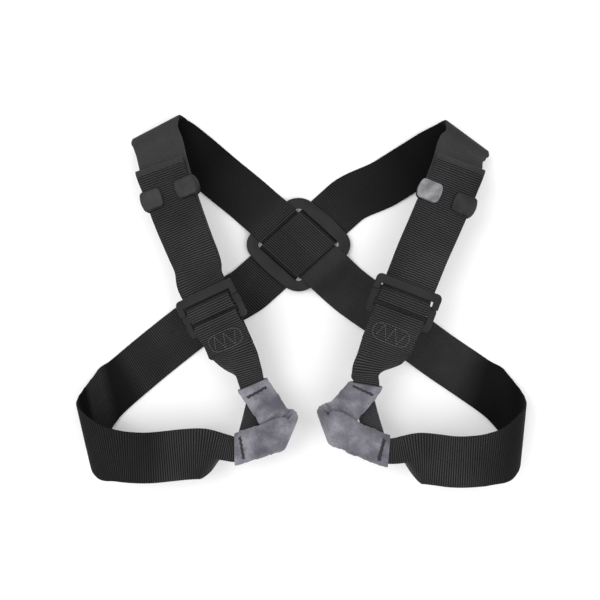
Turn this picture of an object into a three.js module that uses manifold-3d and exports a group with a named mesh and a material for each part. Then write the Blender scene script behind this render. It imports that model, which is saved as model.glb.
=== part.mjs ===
// A climbing chest harness of flat webbing, lying on a surface with its front facing up.
// Millimetres, +Z up, shoulders towards +Y. The routes are laid out round the centre of the back ring,
// and the finished group is moved so that its origin is the bottom centre of its box.
import * as THREE from "three";
import Module from "manifold-3d";

// Lie of the harness: the lengths that the route tables below are shares of
const SPAN = 416;
const LENGTH = 340;
const LOFT = 46;

// Webbing
const WEBBING_WIDTH = 45;
const WEBBING_THICKNESS = 1.8;
const LAYER_GAP = 0.3;
const LAYER_STEP = WEBBING_THICKNESS + LAYER_GAP;
const HALF_WIDTH = WEBBING_WIDTH / 2;
const HALF_THICKNESS = WEBBING_THICKNESS / 2;

// Bends of the webbing
const SHOULDER_FOLD_DEPTH = 6;
const SHOULDER_FOLD_HEIGHT = 12;
const SIDE_BEND_DEPTH = 16.5;
const LOOP_FOLD_DEPTH = 5.5;
const HEM_LENGTH = 8;

// Back ring
const RING_BAR = 11.2;
const RING_THICKNESS = 3;
const RING_CLEARANCE = 4;
const RING_CORNER_RADIUS = 17;
const RING_BULGE = 1.4;
const RING_EDGE_ROUND = 0.9;
const RING_TURN = 42;

// Ladder buckle
const BUCKLE_ARM = 6;
const BUCKLE_PLATE = 2.6;
const BUCKLE_SLOT_CLEARANCE = 1.6;
const BUCKLE_RAISED_BAR = 8;
const BUCKLE_SLOT = 4.2;
const BUCKLE_STEP = 1.6;
const BUCKLE_MIDDLE_BAR = 9.1;
const BUCKLE_WEBBING_GAP = 7.2;
const BUCKLE_LOWER_BAR = 6.5;
const BUCKLE_CORNER_RADIUS = 4;
const BUCKLE_EDGE_ROUND = 0.5;
const STITCHED_LENGTH = 24;

// Loop sleeve, closing tape and strap keeper
const SLEEVE_WALL = 1.2;
const SLEEVE_EASE = 1.4;
const TAPE_WIDTH = 18;
const TAPE_THICKNESS = 1.4;
const TAPE_SAG = 6;
const KEEPER_WALL = 2.2;
const KEEPER_LENGTH = 18;
const KEEPER_FINGER = 19;

const vec = (x, y, z) => new THREE.Vector3(x, y, z);
const UP = vec(0, 0, 1);
const degrees = THREE.MathUtils.degToRad;
const heading = (angle) => vec(Math.cos(degrees(angle)), Math.sin(degrees(angle)), 0);

// A table row's place: shares of the span, the length and the loft, above a strap that lies flat. A row's line
// is the direction of the line across the strap, where that isn't square to it.
const place = (row) => vec(row.x * SPAN, row.y * LENGTH, row.z * LOFT + HALF_THICKNESS);
const station = (row) => ({
  at: place(row),
  roll: row.roll ?? 0,
  fold: row.fold ?? 0,
  ruling: row.line === undefined ? undefined : heading(row.line),
});

// Main shoulder straps, from above the buckle up to the shoulder fold. roll is how many degrees a strap leans
// to its -X side.
const MAIN_STRAP = {
  left: [
    { x: -0.211, y: -0.066, z: 0.87, roll: 20 },
    { x: -0.227, y: -0.014, z: 0.85, roll: 18 },
    { x: -0.248, y: 0.052, z: 0.83, roll: 14 },
    { x: -0.269, y: 0.126, z: 0.8, roll: 11 },
    { x: -0.289, y: 0.201, z: 0.7, roll: 7 },
    { x: -0.302, y: 0.252, z: 0.5, roll: 2 },
  ],
  right: [
    { x: 0.261, y: -0.03, z: 0.9, roll: 0 },
    { x: 0.28, y: 0.023, z: 0.88, roll: 0 },
    { x: 0.3, y: 0.08, z: 0.86, roll: 0 },
    { x: 0.321, y: 0.141, z: 0.82, roll: 0 },
    { x: 0.341, y: 0.204, z: 0.72, roll: 0 },
    { x: 0.353, y: 0.246, z: 0.53, roll: 0 },
  ],
};

// Shoulder folds: middle of the fold's outermost line, its direction, and the drift along it
const SHOULDER_FOLD = {
  left: { x: -0.314, y: 0.317, z: 0.2, line: 27.6, drift: 7.8 },
  right: { x: 0.372, y: 0.294, z: 0.2, line: -36.6, drift: -7.8 },
};

// Back straps between the shoulder fold and the ring
const UPPER_BACK = {
  left: [
    { x: -0.257, y: 0.269, z: 0.06 },
    { x: -0.173, y: 0.184, z: 0.006 },
  ],
  right: [
    { x: 0.296, y: 0.247, z: 0.06 },
    { x: 0.197, y: 0.172, z: 0.006 },
  ],
};

// Back straps between the ring and the side bend
const LOWER_BACK = {
  left: [
    { x: -0.188, y: -0.177, z: 0 },
    { x: -0.312, y: -0.291, z: 0 },
    { x: -0.374, y: -0.354, z: 0, line: -60 },
    { x: -0.41, y: -0.392, z: 0, line: -73 },
  ],
  right: [
    { x: 0.206, y: -0.205, z: 0 },
    { x: 0.312, y: -0.301, z: 0 },
    { x: 0.395, y: -0.37, z: 0, line: -113 },
    { x: 0.43, y: -0.4, z: 0, line: -98 },
  ],
};

// Side bends: where the strap enters on the floor and leaves on top, and the two ends' ruling directions
const SIDE_BEND = {
  left: {
    enter: { x: -0.427, y: -0.411, z: 0.01 },
    leave: { x: -0.427, y: -0.543, z: 0.81 },
    out: 192,
    rulings: [-79, -76],
    haste: 0.05,
  },
  right: {
    enter: { x: 0.446, y: -0.415, z: 0.01 },
    leave: { x: 0.446, y: -0.543, z: 0.92 },
    out: -4,
    rulings: [-93, -97],
    haste: 0.1,
  },
};

// Torso straps from the side bend to the loop sleeve. fold is 0 where the strap is flat, 1 where it is folded in two,
// and the route is then its crease.
const TORSO_STRAP = {
  left: [
    { x: -0.388, y: -0.556, z: 0.82, line: -82 },
    { x: -0.357, y: -0.561, z: 0.83, line: -89 },
    { x: -0.315, y: -0.562, z: 0.83 },
    { x: -0.272, y: -0.557, z: 0.83 },
    { x: -0.23, y: -0.552, z: 0.83 },
    { x: -0.202, y: -0.552, z: 0.83, fold: 0.08 },
    { x: -0.177, y: -0.56, z: 0.82, fold: 0.45 },
    { x: -0.156, y: -0.567, z: 0.81, fold: 0.85 },
  ],
  right: [
    { x: 0.4, y: -0.562, z: 0.95, line: -96 },
    { x: 0.36, y: -0.568, z: 0.96, line: -92 },
    { x: 0.323, y: -0.568, z: 0.96 },
    { x: 0.283, y: -0.562, z: 0.95 },
    { x: 0.256, y: -0.56, z: 0.94, fold: 0.08 },
    { x: 0.231, y: -0.566, z: 0.92, fold: 0.45 },
    { x: 0.21, y: -0.572, z: 0.9, fold: 0.85 },
  ],
};

// Creases inside the sleeves, from the torso strap's mouth to the loop's tip and back up to the other mouth
const LOWER_ARM = {
  left: [
    { x: -0.135, y: -0.571, z: 0.81, fold: 1 },
    { x: -0.103, y: -0.56, z: 0.81, fold: 1 },
    { x: -0.065, y: -0.546, z: 0.8, fold: 1 },
  ],
  right: [
    { x: 0.189, y: -0.573, z: 0.89, fold: 1 },
    { x: 0.162, y: -0.565, z: 0.87, fold: 1 },
    { x: 0.135, y: -0.551, z: 0.85, fold: 1 },
    { x: 0.109, y: -0.54, z: 0.83, fold: 1 },
  ],
};
const LOOP_TIP = {
  left: { x: -0.035, y: -0.533, z: 0.7, line: -113, drift: 10, reach: LOOP_FOLD_DEPTH, height: 0.19 },
  right: { x: 0.071, y: -0.519, z: 0.72, line: -70, drift: 11, reach: LOOP_FOLD_DEPTH * 1.25, height: 0.21 },
};
const UPPER_ARM = {
  left: [
    { x: -0.07, y: -0.483, z: 0.66, fold: 1 },
    { x: -0.088, y: -0.447, z: 0.73, fold: 1 },
    { x: -0.105, y: -0.415, z: 0.79, fold: 1 },
    { x: -0.121, y: -0.383, z: 0.83, fold: 1 },
  ],
  right: [
    { x: 0.111, y: -0.471, z: 0.68, fold: 1 },
    { x: 0.133, y: -0.439, z: 0.75, fold: 1 },
    { x: 0.154, y: -0.407, z: 0.82, fold: 1 },
    { x: 0.169, y: -0.375, z: 0.87, fold: 1 },
  ],
};
const OPENING_OUT = {
  left: [
    { x: -0.129, y: -0.347, z: 0.86, fold: 0.45 },
    { x: -0.137, y: -0.309, z: 0.89, fold: 0.2 },
  ],
  right: [
    { x: 0.166, y: -0.345, z: 0.89, fold: 0.42 },
    { x: 0.176, y: -0.308, z: 0.91, fold: 0.2 },
  ],
};

// Ladder buckles: the middle of the raised bar's upper edge, the strap's direction there and its roll
const BUCKLE_SEAT = {
  left: { x: -0.198, y: -0.126, z: 0.9, heading: -66, roll: 20 },
  right: { x: 0.235, y: -0.111, z: 0.93, heading: -111, roll: 0 },
};

// Adjuster tails: where they start along the main strap, as shares of its length from the buckle to the fold,
// and how far they lie towards -X of it, as a share of the webbing's width
const TAIL = {
  left: { hem: 0.69, keeper: 0.545, aside: 0.07 },
  right: { hem: 0.71, keeper: 0.52, aside: -0.045 },
};

// The side that a folded strap's standing half lies on
const HAND = { left: -1, right: 1 };
const OTHER = { left: "right", right: "left" };

// The line across a strap that runs along a direction and leans to its -X side
function leaning(along, roll) {
  const level = vec(along.y, -along.x, 0).normalize();
  if (level.x > 0) level.negate();
  return level.multiplyScalar(Math.cos(degrees(roll))).addScaledVector(UP, -Math.sin(degrees(roll)));
}

// Smooth routes: a curve through the stations whose speed follows the distances between them
function withTangents(stations) {
  const gap = (i) => stations[i + 1].at.distanceTo(stations[i].at);
  const chord = (i) => stations[i + 1].at.clone().sub(stations[i].at).normalize();
  const last = stations.length - 1;
  let before = null;
  return stations.map((row, i) => {
    let along = chord(Math.min(i, last - 1));
    if (i > 0 && i < last) {
      const next = gap(i);
      const past = gap(i - 1);
      along = chord(i - 1).multiplyScalar(next).addScaledVector(chord(i), past).divideScalar(next + past);
    }
    const ruling = row.ruling ? row.ruling.clone() : leaning(along, row.roll ?? 0);
    const level = vec(along.y, -along.x, 0);
    const wanted = before ?? (row.ruling ? ruling : level);
    if (ruling.dot(wanted) < 0) ruling.negate();
    before = ruling;
    return { ...row, fold: row.fold ?? 0, along, ruling };
  });
}

// Sections along a route: place, direction, the line across the strap and its upward normal. Where a strap bends
// askew the line across lies along the bend, and is as much longer as keeps the strap's width.
function followRoute(stations, turn = 16) {
  const rows = withTangents(stations);
  const frames = [];
  let length = 0;
  for (let i = 0; i < rows.length - 1; i++) {
    const a = rows[i];
    const b = rows[i + 1];
    const chord = b.at.clone().sub(a.at);
    const span = chord.length();
    const bend = a.along.angleTo(chord) + chord.angleTo(b.along) + a.ruling.angleTo(b.ruling);
    const morph = Math.abs(a.fold - b.fold) * 4;
    const steps = Math.max(1, Math.ceil(bend / degrees(turn)), Math.ceil(morph));
    for (let k = i === 0 ? 0 : 1; k <= steps; k++) {
      const u = k / steps;
      const at = a.at.clone().multiplyScalar(2 * u ** 3 - 3 * u ** 2 + 1);
      at.addScaledVector(b.at, -2 * u ** 3 + 3 * u ** 2);
      at.addScaledVector(a.along, span * (u ** 3 - 2 * u ** 2 + u));
      at.addScaledVector(b.along, span * (u ** 3 - u ** 2));
      const along = chord.clone().multiplyScalar((6 * u - 6 * u ** 2) / span);
      along.addScaledVector(a.along, 3 * u ** 2 - 4 * u + 1);
      along.addScaledVector(b.along, 3 * u ** 2 - 2 * u).normalize();
      const across = a.ruling.clone().lerp(b.ruling, u).normalize();
      const up = across.clone().cross(along);
      across.divideScalar(up.length());
      up.normalize();
      if (frames.length) length += at.distanceTo(frames[frames.length - 1].at);
      const mark = k === 0 ? a.mark : k === steps ? b.mark : undefined;
      frames.push({ at, along, across, up, length, mark, fold: THREE.MathUtils.lerp(a.fold, b.fold, u) });
    }
  }
  return frames;
}

// The section at a distance along a route
function frameAt(frames, distance) {
  const after = frames.findIndex((frame) => frame.length >= distance);
  const i = after < 0 ? frames.length - 1 : Math.max(after, 1);
  const a = frames[i - 1];
  const b = frames[i];
  const u = (distance - a.length) / (b.length - a.length);
  const mix = (key) => a[key].clone().lerp(b[key], u);
  const fold = THREE.MathUtils.lerp(a.fold, b.fold, u);
  return { at: mix("at"), along: mix("along"), across: mix("across"), up: mix("up"), fold, length: distance };
}

// The part of a route between two distances
function between(frames, from, to) {
  const inner = frames.filter((frame) => frame.length > from + LAYER_GAP && frame.length < to - LAYER_GAP);
  return [frameAt(frames, from), ...inner, frameAt(frames, to)];
}

const inFrame = (frame, across, up, along = 0) =>
  frame.at
    .clone()
    .addScaledVector(frame.across, across)
    .addScaledVector(frame.up, up)
    .addScaledVector(frame.along, along);

// A closed solid through the frames, with a section of [across, up] points at each. The section's first half
// runs along one side and its second half comes back along the other.
function loft(frames, sectionAt) {
  const rings = frames.map((frame) => sectionAt(frame).map(([a, h]) => inFrame(frame, a, h)));
  const sides = rings[0].length;
  const indices = [];
  for (let i = 0; i < rings.length - 1; i++)
    for (let k = 0; k < sides; k++) {
      const a = i * sides + k;
      const b = i * sides + ((k + 1) % sides);
      indices.push(a, b, a + sides, b, b + sides, a + sides);
    }
  const last = (rings.length - 1) * sides;
  for (let k = 0; k < sides / 2 - 1; k++) {
    const [a, b, c, d] = [k, k + 1, sides - 2 - k, sides - 1 - k];
    indices.push(a, c, b, a, d, c);
    indices.push(last + a, last + b, last + c, last + a, last + c, last + d);
  }
  return solid(rings.flat(), indices);
}

// An open-ended tube: an outer and an inner section that are joined by a rim at each end
function loftTube(frames, outerAt, innerAt) {
  const outer = frames.map((frame) => outerAt(frame).map(([a, h]) => inFrame(frame, a, h)));
  const inner = frames.map((frame) => innerAt(frame).map(([a, h]) => inFrame(frame, a, h)));
  const sides = outer[0].length;
  const shift = frames.length * sides;
  const indices = [];
  const last = frames.length - 1;
  for (let k = 0; k < sides; k++) {
    const next = (k + 1) % sides;
    for (let i = 0; i < last; i++) {
      const a = i * sides + k;
      const b = i * sides + next;
      indices.push(a, b, a + sides, b, b + sides, a + sides);
      indices.push(shift + a, shift + a + sides, shift + b, shift + b, shift + a + sides, shift + b + sides);
    }
    indices.push(k, shift + k, next, next, shift + k, shift + next);
    const a = last * sides + k;
    const b = last * sides + next;
    indices.push(a, b, shift + a, b, shift + b, shift + a);
  }
  return solid([...outer, ...inner].flat(), indices);
}

// An indexed geometry whose faces point outwards
function solid(points, indices) {
  let volume = 0;
  for (let i = 0; i < indices.length; i += 3) {
    const [a, b, c] = [points[indices[i]], points[indices[i + 1]], points[indices[i + 2]]];
    volume += a.dot(b.clone().cross(c));
  }
  if (volume < 0)
    for (let i = 0; i < indices.length; i += 3) [indices[i + 1], indices[i + 2]] = [indices[i + 2], indices[i + 1]];
  const geometry = new THREE.BufferGeometry().setFromPoints(points);
  geometry.setIndex(indices);
  geometry.computeVertexNormals();
  return geometry;
}

// Flat webbing with softened selvedges
function flatSection(width, thickness) {
  const a = width / 2;
  const h = thickness / 2;
  const inset = thickness * 0.35;
  return [
    [a, h * 0.4],
    [a - inset, h],
    [-a + inset, h],
    [-a, h * 0.4],
    [-a, -h * 0.4],
    [-a + inset, -h],
    [a - inset, -h],
    [a, -h * 0.4],
  ];
}

// Webbing folded lengthwise by fold, 0 to 1: one half stands, and the other swings behind it round the crease.
// hand is the side of the standing half, and behind is 1 or -1 as up points to the front or to the back.
const CREASE_RADIUS = LAYER_STEP / 2;
const CREASE_ARC = Math.PI * CREASE_RADIUS;
function foldedSection(fold, hand, behind) {
  const angle = Math.PI * Math.max(fold, 1e-3);
  const radius = CREASE_ARC / angle;
  const straight = HALF_WIDTH - CREASE_ARC / 2;
  const start = (CREASE_ARC / 2) * (1 - fold) + CREASE_RADIUS * fold;
  const lift = CREASE_RADIUS * fold;
  const bends = 3;
  const line = [{ a: start + straight, h: lift, turn: 0 }];
  for (let k = 0; k <= bends; k++) {
    const turn = (angle * k) / bends;
    line.push({ a: start - radius * Math.sin(turn), h: lift - radius * (1 - Math.cos(turn)), turn });
  }
  const tip = line[bends + 1];
  line.push({ a: tip.a - straight * Math.cos(angle), h: tip.h - straight * Math.sin(angle), turn: angle });
  const side = (sign) =>
    line.map(({ a, h, turn }) => [
      hand * (a - sign * HALF_THICKNESS * Math.sin(turn)),
      behind * (h + sign * HALF_THICKNESS * Math.cos(turn)),
    ]);
  return [...side(1), ...side(-1).reverse()];
}

// The half-turn of a strap: from one point to another round a fold line, with its depth and drift along the line.
// Stations from and to are shares of the half-turn, and haste moves the drift towards the start.
function halfTurn({ enter, leave, out, depth, rulings, haste = 0, fold = 0, from = 0, to = 1, steps = 6 }) {
  const mean = rulings[0].clone().add(rulings[1]).normalize();
  const across = leave.clone().sub(enter);
  const drift = across.dot(mean);
  across.addScaledVector(mean, -drift);
  const stations = [];
  for (let k = 0; k <= steps; k++) {
    const u = from + ((to - from) * k) / steps;
    const at = enter.clone().addScaledVector(mean, drift * (u + haste * u * (1 - u)));
    at.addScaledVector(across, (1 - Math.cos(Math.PI * u)) / 2);
    at.addScaledVector(out, depth * Math.sin(Math.PI * u));
    stations.push({ at, ruling: rulings[0].clone().lerp(rulings[1], u), fold });
  }
  return stations;
}

// A half-turn round a straight fold line whose outermost middle is given
function foldOver(row, depth, height, options = {}) {
  const line = heading(row.line);
  const middle = place(row);
  let out = vec(line.y, -line.x, 0);
  if (out.dot(options.towards) < 0) out = out.negate();
  const end = (side) =>
    middle
      .clone()
      .addScaledVector(out, -depth)
      .addScaledVector(line, (side * row.drift) / 2)
      .addScaledVector(UP, (options.rising * side * height) / 2);
  return halfTurn({ enter: end(-1), leave: end(1), out, depth, rulings: [line, line], ...options });
}

// Back ring, whose bars lie along the two straps, and how the straps weave through it: one goes over its bars and
// under the other, which goes under the bars
const RING_OPENING_HALF = HALF_WIDTH + RING_CLEARANCE;
const RING_HALF = RING_OPENING_HALF + RING_BAR;
const RING_BOTTOM = WEBBING_THICKNESS + LAYER_GAP + 0.1;
const OVER_BAR = RING_BOTTOM + RING_THICKNESS + LAYER_GAP + HALF_THICKNESS;
const UNDER_CROSSING = HALF_THICKNESS + WEBBING_THICKNESS;
const OVER_CROSSING = UNDER_CROSSING + LAYER_STEP;

function weave(direction, over, bars) {
  const middle = over ? UNDER_CROSSING : OVER_CROSSING;
  const bar = over ? OVER_BAR : HALF_THICKNESS;
  const rise = (share) => middle + (bar - middle) * share;
  const rows = [
    [LAYER_GAP / 2, middle],
    [HALF_WIDTH * 0.9, middle],
    [HALF_WIDTH + RING_CLEARANCE * 0.08, rise(0.01)],
    [HALF_WIDTH + RING_CLEARANCE * 0.3, rise(0.18)],
    [HALF_WIDTH + RING_CLEARANCE * 0.51, rise(0.5)],
    [HALF_WIDTH + RING_CLEARANCE * 0.72, rise(0.82)],
    [HALF_WIDTH + RING_CLEARANCE * 0.96, rise(0.99)],
    [RING_OPENING_HALF + RING_BAR * 0.12, bar],
    [RING_HALF + RING_BULGE * 0.4, bar],
    [RING_HALF + RING_BAR * 0.3, rise(1) * 0.8 + HALF_THICKNESS * 0.2],
    [RING_HALF + RING_BAR * 0.8, rise(1) * 0.3 + HALF_THICKNESS * 0.7],
    [RING_HALF + RING_BAR * 1.4, HALF_THICKNESS * 1.1],
    [RING_HALF + RING_BAR * 1.7, HALF_THICKNESS],
  ];
  const skew = direction.clone().cross(bars).length();
  return rows.map(([distance, height]) => ({
    at: direction.clone().multiplyScalar(distance / skew).setZ(height),
    ruling: bars,
  }));
}

// A square outline with round corners and slightly bulging sides
function roundedSquare(path, half, radius, bulge) {
  const reach = half - radius;
  const corners = [
    [1, -1],
    [1, 1],
    [-1, 1],
    [-1, -1],
  ];
  path.moveTo(-reach, -half);
  corners.forEach(([sx, sy], i) => {
    const start = (Math.PI / 2) * (i - 1);
    const side = vec(Math.cos(start), Math.sin(start), 0).multiplyScalar(half + 2 * bulge);
    const foot = vec(Math.cos(start), Math.sin(start), 0).multiplyScalar(radius);
    path.quadraticCurveTo(side.x, side.y, sx * reach + foot.x, sy * reach + foot.y);
    path.absarc(sx * reach, sy * reach, radius, start, start + Math.PI / 2, false);
  });
  return path;
}

function ringShape() {
  const rim = RING_EDGE_ROUND;
  const shape = roundedSquare(new THREE.Shape(), RING_HALF - rim, RING_CORNER_RADIUS, RING_BULGE);
  shape.holes.push(roundedSquare(new THREE.Path(), RING_OPENING_HALF + rim, RING_CORNER_RADIUS * 0.25, 0));
  return shape;
}

// A plate with rounded rims, its underside at the given height
function plate(shape, thickness, rim, bottom, curveSegments = 4) {
  const geometry = new THREE.ExtrudeGeometry(shape, {
    depth: thickness - 2 * rim,
    bevelThickness: rim,
    bevelSize: rim,
    bevelSegments: 1,
    curveSegments,
  });
  return geometry.translate(0, 0, bottom + rim);
}

function backRing() {
  const ring = plate(ringShape(), RING_THICKNESS, RING_EDGE_ROUND, RING_BOTTOM);
  const skew = 1 / Math.sin(degrees(2 * RING_TURN));
  const axes = [heading(RING_TURN).multiplyScalar(skew), heading(180 - RING_TURN).multiplyScalar(skew), UP];
  return ring.applyMatrix4(new THREE.Matrix4().makeBasis(...axes));
}

// Ladder buckle, in its own frame: x across the strap, y up along it from the raised bar's upper edge, z outwards
const BUCKLE_HALF = HALF_WIDTH + BUCKLE_SLOT_CLEARANCE + BUCKLE_ARM;
const MIDDLE_BAR_TOP = BUCKLE_RAISED_BAR + BUCKLE_SLOT;
const MIDDLE_BAR_END = MIDDLE_BAR_TOP + BUCKLE_MIDDLE_BAR;
const LOWER_BAR_TOP = MIDDLE_BAR_END + BUCKLE_WEBBING_GAP;
const LOWER_BAR_END = LOWER_BAR_TOP + BUCKLE_LOWER_BAR;
const FRAME_BOTTOM = HALF_THICKNESS + LAYER_GAP;
const FRAME_MIDDLE = FRAME_BOTTOM + BUCKLE_PLATE / 2;
const FRAME_TOP = FRAME_BOTTOM + BUCKLE_PLATE;
const RAISED_BOTTOM = HALF_THICKNESS + LAYER_STEP + LAYER_GAP;
const BAR_TURN = BUCKLE_PLATE / 2 + LAYER_GAP + HALF_THICKNESS;

function roundedRectangle(path, halfWidth, low, high, radius) {
  path.moveTo(-halfWidth + radius, low);
  path.lineTo(halfWidth - radius, low);
  path.absarc(halfWidth - radius, low + radius, radius, -Math.PI / 2, 0, false);
  path.lineTo(halfWidth, high - radius);
  path.absarc(halfWidth - radius, high - radius, radius, 0, Math.PI / 2, false);
  path.lineTo(-halfWidth + radius, high);
  path.absarc(-halfWidth + radius, high - radius, radius, Math.PI / 2, Math.PI, false);
  path.lineTo(-halfWidth, low + radius);
  path.absarc(-halfWidth + radius, low + radius, radius, Math.PI, Math.PI * 1.5, false);
  return path;
}

const wasm = await Module();
wasm.setup();

function toManifold(geometry) {
  const bare = new THREE.BufferGeometry().setAttribute("position", geometry.getAttribute("position"));
  if (geometry.index) bare.setIndex(geometry.index);
  const flat = bare.index ? bare.toNonIndexed() : bare;
  const keys = new Map();
  const vertices = [];
  const triangles = [];
  const position = flat.getAttribute("position");
  for (let i = 0; i < position.count; i++) {
    const point = [position.getX(i), position.getY(i), position.getZ(i)];
    const key = point.map((value) => Math.round(value * 1e4)).join(",");
    if (!keys.has(key)) {
      keys.set(key, vertices.length / 3);
      vertices.push(...point);
    }
    triangles.push(keys.get(key));
  }
  const whole = [];
  for (let i = 0; i < triangles.length; i += 3) {
    const [a, b, c] = triangles.slice(i, i + 3);
    if (a !== b && b !== c && c !== a) whole.push(a, b, c);
  }
  return new wasm.Manifold(
    new wasm.Mesh({
      numProp: 3,
      vertProperties: new Float32Array(vertices),
      triVerts: new Uint32Array(whole),
    }),
  );
}

function fromManifold(manifold) {
  const mesh = manifold.getMesh();
  const geometry = new THREE.BufferGeometry();
  geometry.setAttribute("position", new THREE.BufferAttribute(new Float32Array(mesh.vertProperties), 3));
  geometry.setIndex(new THREE.BufferAttribute(new Uint32Array(mesh.triVerts), 1));
  geometry.computeVertexNormals();
  return geometry;
}

// The raised bar with its two short arms, and the frame with the middle and lower bars that it stands on
function ladderBuckle() {
  const rim = BUCKLE_EDGE_ROUND;
  const half = BUCKLE_HALF - rim;
  const slotHalf = BUCKLE_HALF - BUCKLE_ARM + rim;
  const radius = BUCKLE_CORNER_RADIUS;
  const armEnd = -MIDDLE_BAR_TOP - BUCKLE_STEP + rim;
  const raised = new THREE.Shape();
  raised.moveTo(half, armEnd);
  raised.lineTo(half, -rim - radius);
  raised.absarc(half - radius, -rim - radius, radius, 0, Math.PI / 2, false);
  raised.lineTo(-half + radius, -rim);
  raised.absarc(-half + radius, -rim - radius, radius, Math.PI / 2, Math.PI, false);
  raised.lineTo(-half, armEnd);
  raised.lineTo(-slotHalf, armEnd);
  raised.lineTo(-slotHalf, -BUCKLE_RAISED_BAR + rim);
  raised.lineTo(slotHalf, -BUCKLE_RAISED_BAR + rim);
  raised.lineTo(slotHalf, armEnd);
  raised.closePath();
  const frame = roundedRectangle(new THREE.Shape(), half, -LOWER_BAR_END + rim, -MIDDLE_BAR_TOP - rim, radius);
  const opening = [-LOWER_BAR_TOP - rim, -MIDDLE_BAR_END + rim];
  frame.holes.push(roundedRectangle(new THREE.Path(), slotHalf, ...opening, 1));
  const upper = toManifold(plate(raised, BUCKLE_PLATE, rim, RAISED_BOTTOM));
  const lower = toManifold(plate(frame, BUCKLE_PLATE, rim, FRAME_BOTTOM));
  return fromManifold(upper.add(lower));
}

// Placed frames of the two ladder buckles
function buckleFrame(side) {
  const row = BUCKLE_SEAT[side];
  const along = heading(row.heading);
  const across = vec(along.y, -along.x, 0).applyAxisAngle(along, degrees(row.roll));
  return { at: place(row), along, across, up: across.clone().cross(along) };
}

// Stations in a buckle's frame, from rows of [distance along the strap, height]
function buckleStations(side, rows) {
  const frame = buckleFrame(side);
  return rows.map(([along, up]) => ({ at: inFrame(frame, 0, up, along), ruling: frame.across }));
}

// Half a turn round a bar's edge, from front to back
function barTurn(centre, direction) {
  return [0, 0.25, 0.5, 0.75, 1].map((u) => [
    centre + direction * BAR_TURN * Math.sin(Math.PI * u),
    FRAME_MIDDLE + BAR_TURN * Math.cos(Math.PI * u),
  ]);
}

function mainStations(side) {
  const fold = foldOver(SHOULDER_FOLD[side], SHOULDER_FOLD_DEPTH, SHOULDER_FOLD_HEIGHT, {
    towards: vec(0, 1, 0),
    rising: -1,
  });
  return [
    ...buckleStations(side, [
      [MIDDLE_BAR_TOP, 0],
      [0, 0],
      [-BUCKLE_RAISED_BAR, 0],
    ]),
    ...MAIN_STRAP[side].map(station),
    ...fold,
  ];
}

// Frames at the adjuster tail, which lies on the main strap and is laid out from the buckle upwards. The main strap
// runs away from the buckle there, so that its normal points to the back.
function tailFrame(side, main, distance, layers, whole) {
  const { hem, aside } = TAIL[side];
  const frame = frameAt(main, distance);
  const share = Math.min(1, distance / (hem * whole));
  const at = inFrame(frame, aside * share * WEBBING_WIDTH, -layers * LAYER_STEP);
  return { ...frame, at, up: frame.up.clone().negate(), ruling: frame.across };
}

// The whole shoulder strap: the tail from its turned-under hem, the buckle, the shoulder fold and the back strap
function shoulderFrames(side, main) {
  const whole = main[main.length - 1].length;
  const top = TAIL[side].hem * whole;
  const lay = (distance, layers) => tailFrame(side, main, distance, layers, whole);
  const hem = [lay(top - HEM_LENGTH, 1), lay(top - HEM_LENGTH / 2, 1)];
  for (const u of [0, 0.25, 0.5, 0.75, 1]) {
    const around = top - LAYER_STEP / 2 + (LAYER_STEP / 2) * Math.sin(Math.PI * u);
    hem.push(lay(around, 1.5 - Math.cos(Math.PI * u) / 2));
  }
  hem.push(lay(top - HEM_LENGTH, 2));
  hem.push(lay(top - HEM_LENGTH * 1.5, 1.6));
  const lying = top - HEM_LENGTH * 2.1;
  const rest = MIDDLE_BAR_TOP + BUCKLE_RAISED_BAR * 0.5;
  hem.push(lay(lying, 1));
  const tail = between(main, rest, lying)
    .slice(0, -1)
    .reverse()
    .map((frame) => lay(frame.length, 1));
  const bar = buckleStations(side, [
    [BUCKLE_RAISED_BAR * 0.15, LAYER_STEP],
    [BUCKLE_RAISED_BAR * 0.88, LAYER_STEP],
    [BUCKLE_RAISED_BAR + BUCKLE_SLOT * 0.19, LAYER_STEP + LAYER_GAP],
    [BUCKLE_RAISED_BAR + BUCKLE_SLOT * 0.62, FRAME_TOP + LAYER_GAP / 2],
    [MIDDLE_BAR_TOP - LAYER_GAP, FRAME_TOP + LAYER_GAP + HALF_THICKNESS],
    ...barTurn(MIDDLE_BAR_END - LAYER_GAP, 1),
  ]);
  const toRing = weave(ringSide(side, 1), side === "left", ringSide(OTHER[side], 1)).reverse();
  const onward = followRoute([...bar, ...mainStations(side), ...UPPER_BACK[side].map(station), ...toRing]);
  return [...followRoute(hem), ...tail, ...onward];
}

// Directions in which the straps leave the ring: strap A runs from the left shoulder to the right side
function ringSide(side, towardsShoulder) {
  const slope = side === "left" ? 180 - RING_TURN : RING_TURN;
  return heading(slope).multiplyScalar(towardsShoulder);
}

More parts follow.
